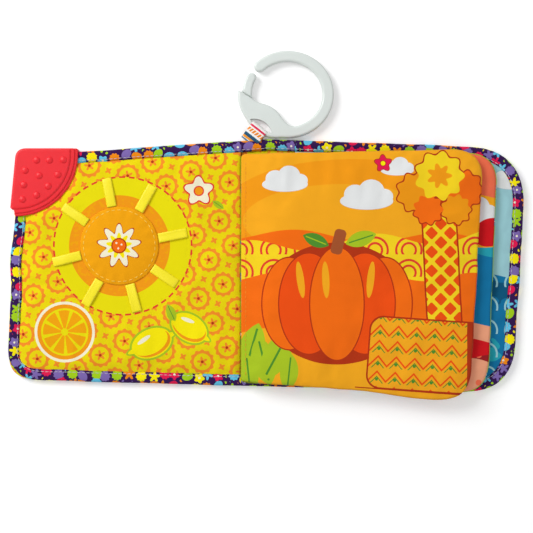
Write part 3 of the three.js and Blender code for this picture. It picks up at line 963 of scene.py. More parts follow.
def arc(centre: Spot, radius: float, start: float, end: float, steps: int) -> list[tuple[float, float]]:
    """Gives points on an arc between two angles in degrees, the end one included."""
    angles = [math.radians(start + (end - start) * k / steps) for k in range(steps + 1)]
    return [(centre[0] + radius * math.cos(a), centre[1] + radius * math.sin(a)) for a in angles]


@dataclass
class Covers:
    """The two padded covers, the spine cloth between them and the folded tape that binds their edge."""

    plan: CoverPlan = field(default_factory=CoverPlan)
    binding_width: float = 8.2
    binding_height: float = 5.2
    tape: float = 0.6
    cloth: float = 0.5
    face_at_binding: float = 4.1
    front_crown: float = 3.3
    back_crown: float = 2.4
    under_leaves: float = 6.0
    wrinkle: float = 0.8
    spine_height: float = 3.7
    stitch_inset: float = 6.7
    stitch_pitch: float = 3.3
    grip_centre: tuple[float, float] = (-182.7, 78.9)
    grip_radius: float = 45.2
    grip_height: float = 5.3
    grip_floor: float = 1.08
    outside_cloth: float = 0.4
    patch_centre: tuple[float, float] = PATCH_CENTRE
    patch_reach: float = 50.5
    patch_fade: float = 14
    patch_level: float = 6.7
    cloth_inset: float = 0.9
    spine_inset: float = 5.5
    grip_slope: float = 0.42

    def panel(self, side: str) -> list[Corner]:
        """Gives the corners of one side's cloth."""
        return self.plan.panels(self.cloth_inset)[side]

    def panel_height(self, side: str) -> Height:
        """Gives one side's height function, with its distances measured from the cover's own edge."""
        rim = self.plan.rim()
        crown, seed = {"front": (self.front_crown, 3.0), "back": (self.back_crown, 11.0)}[side]

        def height(points: Array, depth: Array, along: Array) -> Array:
            """Gives the heights, pressed down where the teether grips the corner."""
            rise = COVER_PADDING.rise(points, edge_distance(points, rim), around(points, rim),
                                      crown, self.wrinkle, seed)
            free = self.face_at_binding + rise
            if side == "back":
                pressed = np.minimum(free, self.under_leaves)
                return free + (pressed - free) * smooth(-points[:, 0], -166, -150)
            flat = np.minimum(free, self.patch_level)
            free = flat + (free - flat) * smooth(self.past_patch(points), 0, self.patch_fade)
            climb = self.grip_slope * np.maximum(self.past_grip(points), 0)
            return np.minimum(free, self.grip_height + climb)

        return height

    def past_grip(self, points: Array) -> Array:
        """Gives how far places lie outside the teether's pocket."""
        return beyond(points, self.grip_centre, self.grip_radius)

    def past_patch(self, points: Array) -> Array:
        """Gives how far places lie outside the ring of tags about the patch."""
        return beyond(points, self.patch_centre, self.patch_reach)

    def in_grip(self, points: Array) -> Array:
        """Gives one inside the teether's pocket and zero a little beyond it."""
        return 1 - smooth(self.past_grip(points), 0, 4)

    def room(self, side: str, points: Array) -> Array:
        """Gives how far the inside cloth may swell: not under binding, teether, tags or leaves."""
        rim = self.plan.rim()
        free = 1.3 * smooth(edge_distance(points, rim), self.binding_width - 1, self.binding_width + 6)
        if side == "back":
            return 1.3 * free * (0.1 + 0.9 * smooth(points[:, 0], 150, 163))
        return free * smooth(self.past_grip(points), 0, 9) * smooth(self.past_patch(points), 0, 9)

    def inner_cloth(self, side: str, material: Material) -> None:
        """Makes the printed cloth on the inside of one cover."""
        corners = self.panel(side)
        piece = outline_grid(f"{side}_cover_inside_cloth", corners, (58, 57), self.panel_height(side))
        swell(piece, Stuffing(), lambda points: self.room(side, points))
        thicken(piece, self.cloth, smoothing=1)
        dress(piece, material, f"{side}_cover", {"front": "cover_print", "back": "sea_print"}[side])
        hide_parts(f"{side}_inner_cloth")
        declare_cloth(corners)

    def outer_cloth(self, side: str, material: Material) -> None:
        """Makes the purple outside of one cover: it lies on the table and rounds up at its edge."""
        corners = self.panel(side)
        rim = self.plan.rim()

        def height(points: Array, depth: Array, along: Array) -> Array:
            """Gives the underside's heights."""
            deep = edge_distance(points, rim)
            lift = 1.1 * np.exp(-(deep / 7) ** 2)
            soft = 0.12 * (1 + drift(points, 30, 21)) * smooth(deep, 4, 20)
            gripped = (self.grip_floor + self.outside_cloth) * self.in_grip(points)
            return np.maximum(self.outside_cloth + lift + soft, gripped)

        piece = outline_grid(f"{side}_cover_outside_cloth", corners, (90, 88), height)
        thicken(piece, self.outside_cloth, offset=1)
        piece.data.flip_normals()
        dress(piece, material, f"{side}_cover", "purple_cloth")
        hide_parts(f"{side}_outer_cloth")
        declare_cloth(corners)

    def spine(self, inside: Material, outside: Material) -> None:
        """Makes the inside and outside cloths of the spine, laid flat between the covers."""
        corners = self.plan.panels(self.spine_inset)["spine"]

        def upper(points: Array, depth: Array, along: Array) -> Array:
            """Gives the inside cloth's heights."""
            return self.spine_height + 0.35 * drift(points, 17, 5) + 0.2 * np.cos(points[:, 0] * TAU / 39)

        def lower(points: Array, depth: Array, along: Array) -> Array:
            """Gives the outside cloth's heights."""
            return 0 * depth

        for name, height, material, node, slot in (
            ("spine_inside_cloth", upper, inside, "spine_inner_cloth", "cover_print"),
            ("spine_outside_cloth", lower, outside, "spine_outer_cloth", "purple_cloth"),
        ):
            piece = outline_grid(name, corners, (26, 90), height)
            thicken(piece, 0.4, offset=1 if height is lower else -1)
            if height is lower:
                piece.data.flip_normals()
            dress(piece, material, None, slot)
            self.bend(piece)
            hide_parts(node)
            declare_cloth(corners)

    def bend(self, piece: Object) -> None:
        """Bakes a piece of the spine's placement into its mesh."""
        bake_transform(piece)

    def attach(self, piece: Object, material: Material, name: str) -> None:
        """Finishes a piece of one part of the binding, which rides on its cover or, on the spine, has its
        placement baked in.
        """
        body = None if name.startswith("spine") else name.replace("binding", "cover")
        dress(piece, material, body, "purple_cloth")
        if body is None:
            self.bend(piece)

    def rim_run(self, inset: float, step: float = 1.6) -> tuple[Array, Array]:
        """Gives points round the cover's rim and their inward directions."""
        rim = rounded(inset_corners(self.plan.corners(), inset), step)
        ahead = np.roll(rim, -1, axis=0) - np.roll(rim, 1, axis=0)
        ahead /= np.linalg.norm(ahead, axis=1)[:, None]
        return rim, np.column_stack([-ahead[:, 1], ahead[:, 0]])

    def runs(self) -> dict[str, tuple[float, float, bool]]:
        """Gives the span of x that each part of the binding covers, and whether it runs over the top."""
        edge, end = self.plan.spine_half_width, math.inf
        return {"front_binding": (-end, -edge, True), "back_binding": (edge, end, True),
                "spine_binding_top": (-edge, edge, True), "spine_binding_bottom": (-edge, edge, False)}

    def stray(self, points: Array) -> Array:
        """Gives how far the binding strays outwards: uneven sewing, a bulge and a tucked-in corner."""
        x, y = points.T
        sewing = 0.55 * drift(points, 26, 13) * smooth(np.abs(x), 22, 40)
        bulge = 1.9 * np.exp(-((y - 3) / 17) ** 2) * (x < -160)
        corner = 2.2 * np.exp(-(((x + 182) ** 2 + (y + 78) ** 2) / 11 ** 2))
        return (sewing + bulge - corner) * smooth(np.hypot(*(points - self.grip_centre).T), 40, 60)

    def rim_part(self, name: str, inset: float, step: float = 1.6) -> tuple[Array, Array]:
        """Gives the rim points of one part of the binding in order, its ends on the dividing lines."""
        low, high, top = self.runs()[name]
        rim, inward = self.rim_run(inset, step)
        keep = (rim[:, 0] > low + 0.3) & (rim[:, 0] < high - 0.3)
        if name.startswith("spine"):
            keep &= (rim[:, 1] > 0) == top
        start = next(i for i in range(len(rim)) if keep[i] and not keep[i - 1])
        order = [(start + k) % len(rim) for k in range(int(keep.sum()))]
        points, sides = rim[order], inward[order]
        ends = []
        for point, next_point in ((points[0], points[1]), (points[-1], points[-2])):
            line = min((low, high), key=lambda v: abs(v - point[0]))
            share = (line - point[0]) / (next_point[0] - point[0])
            ends.append(point + (next_point - point) * share)
        return np.vstack([ends[0], points, ends[1]]), np.vstack([sides[0], sides, sides[-1]])

    def binding(self, name: str, material: Material) -> None:
        """Makes one part of the binding: a tape folded round the edge, a little uneven."""
        path, inward = self.rim_part(name, 0)
        width, high, tape = self.binding_width, self.binding_height, self.tape
        outer = [(width, high - 0.35), (width - 2.6, high), (3.4, high + 0.1), (1.4, high - 0.1),
                 (0.45, high - 0.7), (0.05, high - 1.7), (0, 2.4), (0.1, 1.3), (0.6, 0.45), (1.6, 0.05),
                 (4, 0), (width, 0)]
        inner = [(width, tape), (4, tape), (1.7, tape + 0.1), (1.0, tape + 0.5), (0.7, 1.8),
                 (0.7, high - 1.7), (1.2, high - 1.0), (3.4, high - tape), (width, high - 0.35 - tape)]
        base = np.array(outer + inner, float)
        across = np.column_stack([path[:, 0] + path[:, 1], path[:, 0] - path[:, 1]])
        sway = 0.28 * drift(across, 9, 2) + 0.2 * drift(across, 4, 6)
        sway *= smooth(np.arange(len(path)), 0, 5) * smooth(np.arange(len(path))[::-1], 0, 5)
        shapes = np.repeat(base[None], len(path), axis=0)
        shapes[:, :, 0] += (sway * 0.8)[:, None] * (base[:, 0] > 5)[None]
        shapes[:, 1:4, 1] += sway[:, None]
        low = self.grip_floor * self.in_grip(path)[:, None]
        shapes[:, :, 1] = low + shapes[:, :, 1] * (1 - low / high)
        flat = np.zeros(len(path))
        full = np.column_stack([path - inward * self.stray(path)[:, None], flat])
        piece = swept(name + "_tape", full, np.column_stack([inward, flat]), shapes)
        self.attach(piece, material, name)
        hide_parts(name)
        length = np.linalg.norm(np.diff(path, axis=0), axis=1).sum() * MM

    def topstitch(self, name: str, thread: Material) -> None:
        """Sews the pale row along the binding's inner edge."""
        path, inward = self.rim_part(name, self.stitch_inset)
        path = path - inward * self.stray(path)[:, None]
        seat = lifted(path, np.full(len(path), self.binding_height + 0.05))
        row = stitch_row(name + "_stitches", seat, self.stitch_pitch, 3.1, 0.42)
        self.attach(row, thread, name)

    def build(self, look: "Looks") -> None:
        """Builds the covers."""
        self.inner_cloth("front", look.page)
        self.inner_cloth("back", look.sea)
        self.outer_cloth("front", look.purple)
        self.outer_cloth("back", look.purple)
        self.spine(look.page, look.purple)
        for name in self.runs():
            self.binding(name, look.tape)
            self.topstitch(name, look.thread)


def plan_area(corners: Sequence[Corner]) -> float:
    """Gives an outline's area in square metres."""
    line = rounded(corners)
    x, y = line.T
    return abs(np.dot(x, np.roll(y, -1)) - np.dot(y, np.roll(x, -1))) / 2 * MM * MM


def declare_cloth(corners: Sequence[Corner]) -> None:
    """Works out a cut of cloth's flat size and area, with the turnings that its crown takes up left out;
    nothing is done with them.
    """
    line = rounded(corners)
    width, length = np.ptp(line[:, 0]) * MM, np.ptp(line[:, 1]) * MM
    area = min(plan_area(corners), width * length)


@dataclass
class Leaf:
    """A padded leaf: two cloths sewn round a crinkle film and wadding, and into the spine by its root."""

    name: str
    middle: float
    root_top: float
    root_bottom: float
    top: Corner
    bottom: Corner
    seed: float
    root_sag: float = 3.0
    corner_sag: float = 0.0
    back_lip: float = 0.55
    root: float = -19.2
    seam: float = 0.35
    crown: tuple[float, float] = (2.1, 2.1)
    wrinkle: tuple[float, float] = (0.35, 0.35)
    give: tuple[float, float] = (0.25, 0.25)
    cloth: float = 0.4
    keep: float = 0.879
    fore_edge: float = 187
    filling_inset: float = 6.0

    def corners(self) -> list[Corner]:
        """Gives the leaf's outline."""
        return [self.top, (self.root, self.root_top, 1.5), (self.root, self.root_bottom, 1.5), self.bottom]

    def line(self, points: Array) -> Array:
        """Gives the height of the leaf's middle, which climbs from its root and waves at its free edge."""
        x, y = points.T
        sag = self.root_sag * (1 - smooth(x, self.root, self.root + 34)) ** 1.5
        free = smooth(x, 60, 165)
        wave = free * 0.5 * drift(points * [1, 0.7], 60, self.seed + 31)
        return self.middle - sag + wave

    def puff(self, points: Array, depth: Array, along: Array, back: int = 0) -> Array:
        """Gives how far one cloth stands off the leaf's middle: seam puckers, then soft filling."""
        rise = LEAF_PADDING.rise(points, depth, along, self.crown[back], self.wrinkle[back],
                                 self.seed + 9 * back)
        thin = 0.55 * (1 - smooth(points[:, 0], self.root, self.root + 22))
        return self.seam + rise * (1 - thin)

    def room(self, points: Array, back: int) -> Array:
        """Gives how far one cloth may swell: not at its root, and more at the fore-edge."""
        x = points[:, 0]
        edge = 0.8 * smooth(x, self.top[0] - 24, self.top[0] - 8)
        return np.maximum(self.give[back], edge) * smooth(x, self.root + 5, self.root + 14)

    def stray(self, points: Array) -> Array:
        """Gives how the leaf's edge strays outwards: small waves, and a sag near its lower corner."""
        x, y = points.T
        waves = 0.55 * drift(points, 24, self.seed + 3) + 0.3 * drift(points, 9, self.seed + 8)
        sag = self.corner_sag * np.exp(-((x - 112) / 24) ** 2) * (y < 0)
        return (waves + sag) * smooth(x, self.root + 2, self.root + 20)

    def cloth_side(self, side: int, material: Material, slot: str) -> None:
        """Makes the front cloth (side 1) or the back cloth (side -1)."""
        label, back = ("front", 0) if side > 0 else ("back", 1)
        corners = self.corners()

        def height(points: Array, depth: Array, along: Array) -> Array:
            """Gives the cloth's outside heights."""
            return self.line(points) + side * self.puff(points, depth, along, back)

        cut = corners if side > 0 else inset_corners(corners, -self.back_lip)
        piece = outline_grid(f"{self.name}_{label}_print_cloth", cut, (60, 58), height, self.stray)
        swell(piece, Stuffing(outward=float(side)), lambda points: self.room(points, back))
        if side < 0:
            piece.data.flip_normals()
        thicken(piece, self.cloth, smoothing=1)
        dress(piece, material, self.name, slot)
        self.press(piece)
        nodes = [f"{self.name}_{label}_cloth"] + ([f"{self.name}_root"] if side > 0 else [])
        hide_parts(*nodes)
        declare_cloth(corners)

    def press(self, piece: Object) -> None:
        """Gives a piece of the leaf a mesh of its own."""
        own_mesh(piece)

    def filling(self, film: Material, wadding: Material) -> None:
        """Makes the crinkle film and the wadding, which lie hidden between the cloths and follow the leaf."""
        inner = inset_corners(self.corners(), self.filling_inset)
        for name, material, top, thickness, slot in (
            ("crinkle_film", film, 0.3, 0.1, "crinkle_film"),
            ("wadding", wadding, 0.1, 0.5, "wadding"),
        ):
            piece = outline_grid(f"{self.name}_{name}_layer", inner, (40, 38),
                                 lambda points, depth, along: self.line(points) + top)
            thicken(piece, thickness)
            dress(piece, material, self.name, slot)
            self.press(piece)
            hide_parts(f"{self.name}_{name}")
            if name == "wadding":
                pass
            else:
                declare_cloth(inner)

    def build(self, front: Material, back: Material, slots: tuple[str, str], thread: Material) -> None:
        """Builds both cloths and the row of stitches that closes the leaf at its spine edge."""
        self.cloth_side(1, front, slots[0])
        self.cloth_side(-1, back, slots[1])
        x = self.root + 3.2
        places = np.array([(x, y) for y in np.arange(self.root_bottom + 4, self.root_top - 4, 2.0)])
        rim = rounded(self.corners())
        heights = self.line(places) + self.puff(places, edge_distance(places, rim), around(places, rim))
        row = stitch_row(f"{self.name}_root_stitches", lifted(places, heights + 0.1), 3.4, 2.7, 0.4)
        dress(row, thread, self.name, slots[0])
        self.press(row)


@dataclass
class SunPatch:
    """The round stitched patch on the front cover and the eight satin tags that stand out from it."""

    covers: Covers
    centre: tuple[float, float] = PATCH_CENTRE
    radius: float = 28.5
    rise: float = 2.6
    cloth: float = 0.5
    tag_angles: tuple[float, ...] = (101, 61, 11, -34, -75, -120, 194, 145)
    tag_length: float = 20.6
    tag_width: float = 6.9
    tag_points: int = 22
    tag_floor: float = 6.3
    tag_layers: tuple[float, float] = (0.2, 0.65)
    stitch_inset: float = 2.6

    def ground(self, points: Array) -> Array:
        """Gives the height of the cover's cloth under the patch."""
        height = self.covers.panel_height("front")
        return height(points, np.zeros(len(points)), np.zeros(len(points)))

    def height(self, points: Array) -> Array:
        """Gives the height of the patch's own cloth."""
        apart = np.hypot(*(points - self.centre).T)
        share = np.clip(1 - apart / self.radius, 0, 1)
        level = float(self.ground(np.array([self.centre]))[0])
        settle = smooth(apart, 8, self.radius)
        ground = self.ground(points) * settle + level * (1 - settle)
        turn = np.arctan2(*(points - self.centre).T)
        pucker = 0.18 * np.sin(turn * 17 + 1) * smooth(apart, self.radius - 12, self.radius - 3)
        return ground + 0.4 + self.rise * (1 - np.exp(-share * 3.4)) + pucker * (share > 0.01)

    def disc(self, material: Material) -> None:
        """Makes the patch itself."""
        bm = bmesh.new()
        bmesh.ops.create_grid(bm, x_segments=64, y_segments=64, size=1)
        flat = np.array([v.co.xy[:] for v in bm.verts])
        reach = np.abs(flat).max(axis=1)
        length = np.maximum(np.hypot(*flat.T), 1e-9)
        spread = flat / length[:, None] * reach[:, None]
        mixed = flat * (1 - reach ** 2)[:, None] * 0.8 + spread * (1 - (1 - reach ** 2) * 0.8)[:, None]
        plan = mixed * self.radius + self.centre
        for vert, place in zip(bm.verts, lifted(plan, self.height(plan))):
            vert.co = place
        bmesh.ops.recalc_face_normals(bm, faces=bm.faces)
        piece = finish_mesh("sun_patch", bm)
        thicken(piece, self.cloth)
        dress(piece, material, "front_cover", "patch_cloth")
        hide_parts("round_patch")

    def stitches(self, thread: Material) -> None:
        """Sews the dashed row just inside the patch's edge."""
        angles = np.linspace(0, TAU, 90, endpoint=False)
        reach = self.radius - self.stitch_inset
        places = np.column_stack([np.cos(angles), np.sin(angles)]) * reach + self.centre
        path = lifted(places, self.height(places) + 0.05)
        row = stitch_row("sun_patch_stitches", path, 4.2, 3.2, 0.55, closed=True)
        dress(row, thread, "front_cover", "patch_cloth")

    def tag(self, index: int, material: Material) -> None:
        """Makes one tag: a satin ribbon folded double, its two ends sewn under the patch."""
        angle = math.radians(self.tag_angles[index])
        out = np.array([math.cos(angle), math.sin(angle)])
        across = np.array([-out[1], out[0]])
        start, end = self.radius + 0.2, self.radius + 0.5 + self.tag_length
        count = self.tag_points
        marks = np.concatenate([np.linspace(start, end, count), np.linspace(end, start, count)])
        centre_line = np.array([np.array(self.centre) + out * m for m in marks])
        floor = np.maximum(self.ground(centre_line), self.tag_floor)
        lift = np.repeat(self.tag_layers, count)
        fold = np.clip((marks - (end - 1.5)) / 1.5, 0, 1)
        lift = lift * (1 - fold) + 0.42 * fold
        loose = np.concatenate([np.zeros(count), 0.5 * np.sin(np.linspace(0, math.pi, count))])
        bow = 0.35 * np.sin((marks - start) / (end - start) * 5 + index)
        path = np.column_stack([centre_line, floor + lift + loose + bow * 0.3])

        def cup(wide: Array) -> Array:
            """Gives the tag's own curl and twist."""
            return 0.16 * np.cos(wide * 2.4 + index) + 0.12 * np.sin(marks / 3.1 + index)[:, None] * wide

        piece = ribbon(f"satin_tag_{index + 1}", path, (*across, 0.0), self.tag_width, 7, cup, 0.22)
        dress(piece, material, f"tag_{index + 1}", "satin_ribbon")
        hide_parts(f"ribbon_tag_{index + 1}")

    def build(self, look: "Looks") -> None:
        """Builds the patch and its tags."""
        self.disc(look.patch)
        self.stitches(look.yellow_thread)
        for index in range(len(self.tag_angles)):
            self.tag(index, look.tag_satin)


@dataclass
class Teether:
    """The silicone teether: a pocket over the front cover's outer top corner, with bumps to bite on."""

    corner: tuple[float, float] = (-182.7, 82.9)
    arc_drop: float = 4
    lean: float = 3.6
    radius: float = 40.6
    flange: float = 4.6
    round_corner: float = 8
    top: float = 8.8
    flange_top: float = 7.0
    floor: float = 1.0
    pocket_top: float = 5.7
    bump_radius: float = 2.7
    bump_rise: float = 1.0
    bump_sink: float = 0.3
    rim_groove: float = 2.5
    heel: float = 2.6
    bumps: tuple[tuple[float, float], ...] = (
        (-166.9, 74.1), (-157.7, 74.1), (-147.6, 74.4), (-175.2, 66.7), (-165.1, 63.0), (-151.6, 63.6),
        (-176.2, 56.3), (-158.6, 55.3), (-166.9, 48.9), (-177.1, 45.8))

    def outline(self, grow: float) -> Array:
        """Gives the sector's outline, grown along its round side."""
        x, y = self.corner
        radius = self.radius + grow
        corner = [((1 - t) ** 2 * (x + self.round_corner) + 2 * t * (1 - t) * x + t * t * (x - 0.2),
                   (1 - t) ** 2 * y + 2 * t * (1 - t) * y + t * t * (y - self.round_corner))
                  for t in np.linspace(0, 1, 10)]
        middle = y - self.arc_drop
        heel = x - self.lean + (self.heel if grow else 0)
        foot = [(heel, middle - radius + 1.6), (min(heel + 1.6, x - 0.2), middle - radius)]
        bend = arc((x, middle), radius, -89.5, 0, 40)
        shoulder = [(x + radius, y - 1.4), (x + radius - 0.4, y - 0.4), (x + radius - 1.4, y)]
        return np.array(corner + foot + bend + shoulder)

    def build(self, covers: Covers, material: Material) -> None:
        """Builds the body with its pocket, then its bumps."""
        body = plate("teether_body", [self.outline(0)], 0.0, self.top, 1.7)
        step = plate("teether_step", [self.outline(self.rim_groove)], 0.0, self.flange_top + 0.9, 0.8)
        flange = plate("teether_flange", [self.outline(self.flange)], 0.0, self.flange_top, 1.1)
        pocket = plate("teether_pocket", [rounded(inset_corners(covers.plan.corners(), -0.5))],
                       self.floor, self.pocket_top, 0.3, 1)
        combine(body, [(step, "UNION"), (flange, "UNION"), (pocket, "DIFFERENCE")])
        bm = bmesh.new()
        bm.from_mesh(body.data)
        for x, y in self.bumps:
            place = (x * MM, y * MM, (self.top - self.bump_sink) * MM)
            wide, high = self.bump_radius * MM, (self.bump_rise + self.bump_sink) * MM
            size = Matrix.Diagonal((wide, wide, high, 1))
            bmesh.ops.create_uvsphere(bm, u_segments=18, v_segments=10, radius=1,
                                      matrix=Matrix.Translation(place) @ size)
        bm.to_mesh(body.data)
        bm.free()
        shade_smooth(body.data, 40)
        weigh_normals(body)
        dress(body, material, "front_cover", "silicone")
        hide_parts("corner_teether")


@dataclass
class Clip:
    """The hanging ring: a moulded plate with an eyelet for the ribbon, an open ring and a springy gate."""

    centre: tuple[float, float] = (14.2, 122.3)
    flat: float = 0.94
    outer: float = 33.7
    inner: float = 25.2
    free_end: float = 133
    low: float = 0.6
    high: float = 5.8
    bevel: float = 1.9
    gate_radius: float = 29.3
    gate_half: float = 3.4
    gate_tip: float = 153
    least_gap: float = 0.25

    def placed(self, points: Iterable[Spot]) -> Array:
        """Moves points about the ring's centre to their place, without points that nearly meet."""
        kept: list[Spot] = []
        for point in points:
            if not kept or math.dist(point, kept[-1]) > self.least_gap:
                kept.append(point)
        if math.dist(kept[0], kept[-1]) < self.least_gap:
            kept.pop()
        return np.array(kept) * (1, self.flat) + self.centre

    def ring_outline(self) -> Array:
        """Gives the outline of the ring and its plate."""
        points = arc((0, 0), self.outer, self.free_end, -97, 90)
        points += bezier([points[-1], (-13, -35), (-22.5, -31.5), (-28.5, -21.7)])
        points += bezier([(-28.5, -21.7), (-33.5, -13.5), (-37.5, -6), (-35.7, 3.1)])
        points += [(-35.7, 3.1), (-33.2, 1.9), (-25.4, -3.1)]
        points += bezier([(-25.4, -3.1), (-21.5, -8), (-15, -5.8), (-8.4, -12.2)])
        points += bezier([(-8.4, -12.2), (-3, -17.5), (-3, -23.5), (5.1, -24.7)])
        points += arc((0, 0), self.inner, -78.3, self.free_end, 80)
        turn = math.radians(self.free_end)
        middle, half = (self.outer + self.inner) / 2, (self.outer - self.inner) / 2
        end = (middle * math.cos(turn), middle * math.sin(turn))
        points += arc(end, half, self.free_end + 180, self.free_end, 14)[1:]
        return self.placed(points)

    def eyelet(self) -> Array:
        """Gives the outline of the ribbon's eyelet."""
        points = bezier([(-27.2, -19.2), (-26, -23.5), (-21, -30), (-11.6, -29.8)])
        points += bezier([(-11.6, -29.8), (-12, -24.5), (-18, -17.5), (-27.2, -19.2)])
        return self.placed(points)

    def gate_outline(self) -> Array:
        """Gives the outline of the gate, from its flexing root to its round tip."""
        low, high = self.gate_radius - self.gate_half, self.gate_radius + self.gate_half
        turn = math.radians(self.gate_tip)
        tip = (self.gate_radius * math.cos(turn), self.gate_radius * math.sin(turn))
        points = [(-25.4, -2.75), (-low - 0.1, -1.0)] + arc((0, 0), low, 180, self.gate_tip, 20)
        points += arc(tip, self.gate_half, self.gate_tip - 180, self.gate_tip, 14)
        points += arc((0, 0), high, self.gate_tip, 172, 14)
        points += [(-33.2, 2.25)]
        return self.placed(points)

    def build(self, material: Material) -> None:
        """Builds the ring with its eyelet cut out and its edges softened, and the gate."""
        ring = plate("clip_ring_moulding", [self.ring_outline()], self.low, self.high, self.bevel, 5)
        hole = plate("eyelet_cutter", [self.eyelet()], self.low - 1, self.high + 1, 0.1, 1)
        combine(ring, [(hole, "DIFFERENCE")])
        soft = ring.modifiers.new("soft_edge", "BEVEL")
        soft.width = 0.5 * MM
        soft.segments = 2
        soft.limit_method = "ANGLE"
        soft.angle_limit = math.radians(40)
        weigh_normals(ring)
        dress(ring, material, "ring", "clip_plastic")
        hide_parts("clip_ring")
        gate = plate("clip_gate_moulding", [self.gate_outline()], self.low + 0.15, self.high - 0.15, 1.7, 5)
        weigh_normals(gate)
        dress(gate, material, "gate", "clip_plastic")
        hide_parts("clip_gate")


@dataclass
class HangingRibbon:
    """The printed ribbon that loops through the clip's eyelet and is sewn in under the binding."""

    fold: tuple[float, float] = (-5.3, 99)
    slant: float = 52
    width: float = 13
    top: float = 6.6
    reach: float = 14.5
    turn: float = 3.0

    def build(self, material: Material) -> None:
        """Builds the loop as one strip from under the binding, round the eyelet's bar and back."""
        slant = math.radians(self.slant)
        along = np.array([math.cos(slant), math.sin(slant), 0])
        across = np.array([along[1], -along[0], 0])
        foot = np.array([*self.fold, 0.0])
        middle = self.top / 2
        line = [(-self.reach, middle - 0.9), (-11.4, 1.1), (-10, 0.5), (-7, 0.35), (-self.turn, 0.4)]
        for angle in np.linspace(-90, 90, 13)[1:-1]:
            turn = math.radians(angle)
            line.append((-self.turn + self.turn * math.cos(turn), middle + (middle - 0.35) * math.sin(turn)))
        line += [(-self.turn, self.top - 0.4), (-7, self.top - 0.3), (-10, self.top - 0.4),
                 (-11.4, self.top - 1.9), (-self.reach, middle + 0.9)]
        coarse = np.array(line)
        marks = run_length(coarse)
        fine = np.linspace(0, marks[-1], 60)
        run = np.column_stack([np.interp(fine, marks, coarse[:, k]) for k in (0, 1)])
        path = foot + run[:, :1] * along + run[:, 1:] * UP
        piece = ribbon("striped_hanging_ribbon", path, across, self.width, 13,
                       lambda wide: 0.22 * np.cos(wide * 2.2), 0.3)
        dress(piece, material, "ribbon", "satin_ribbon")
        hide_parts("hanging_ribbon")


def cloud(art: Print, x: float, y: float, size: float) -> None:
    """Prints a cloud with a grey underside."""
    puffs = ((0, 0, 13, 4.2), (-5.5, 3.2, 5.5, 4.8), (2.4, 4.6, 6.4, 6), (8.4, 2.2, 4.6, 3.8))
    for ink, drop in ((Ink.CLOUD_GREY, 0.16), (Ink.CLOUD, 0)):
        parts = [art.ellipse((x + dx * size, y + (dy - drop) * size), (rx * size, ry * size))
                 for dx, dy, rx, ry in puffs]
        art.ink(art.either(*parts), ink)


def leafy(art: Print, x: float, y: float, length: float, angle: float, ink: Ink, vein: Ink,
          at: NodeSocket | None = None) -> None:
    """Prints a pointed leaf with its midrib: where two discs overlap."""
    here = art.local((x, y), (length, length), angle, at)
    art.ink(art.both(art.disc((0, -0.62), 0.98, here), art.disc((0, 0.62), 0.98, here)), ink)
    art.ink(art.bar((0, 0), (0.6, 0.03 if at is None else 0.035), radius=0.02, at=here), vein)


def blossom(art: Print, x: float, y: float, radius: float, petals: Ink, heart: Ink, rim: Ink) -> None:
    """Prints a flower with a rim and a heart."""
    art.ink(art.petals((x, y), radius * 1.12, 5, 0.16, 20), rim)
    art.ink(art.petals((x, y), radius, 5, 0.18, 20), petals)
    art.ink(art.disc((x, y), radius * 0.36), rim)
    art.ink(art.disc((x, y), radius * 0.27), heart)


def citrus(art: Print, x: float, y: float, radius: float) -> None:
    """Prints a cut citrus fruit: rind, pith and segments."""
    here = art.local((x, y), (radius, radius), 12)
    art.ink(art.disc((0, 0), 1.1, here), Ink.CREAM)
    art.ink(art.disc((0, 0), 1.0, here), Ink.SUN_RING)
    art.ink(art.disc((0, 0), 0.86, here), Ink.SUN_PALE)
    wall = art.math("GREATER_THAN", art.math("COSINE", art.bearing(here, 9)), -0.72)
    art.ink(art.both(art.ring((0, 0), 0.46, 0.33, here), wall), Ink.PAGE_ORANGE)


def lemon(art: Print, x: float, y: float, size: float, angle: float) -> None:
    """Prints a lemon with its tips, shade and gloss."""
    here = art.local((x, y), (size, size), angle)
    for fruit, tips, ink in (((1.1, 0.78), (1.34, 0.3), Ink.GRASS), ((1.0, 0.68), (1.24, 0.2), Ink.YELLOW)):
        art.ink(art.either(art.ellipse((0, 0), fruit, at=here), art.ellipse((0, 0), tips, at=here)), ink)
    lit = art.ellipse((-0.1, 0.13), (0.95, 0.62), at=here)
    art.ink(art.without(art.ellipse((0, 0), (0.94, 0.62), at=here), lit), Ink.SUN_RING)
    art.ink(art.ellipse((-0.28, 0.3), (0.36, 0.1), 12, here), Ink.CREAM)


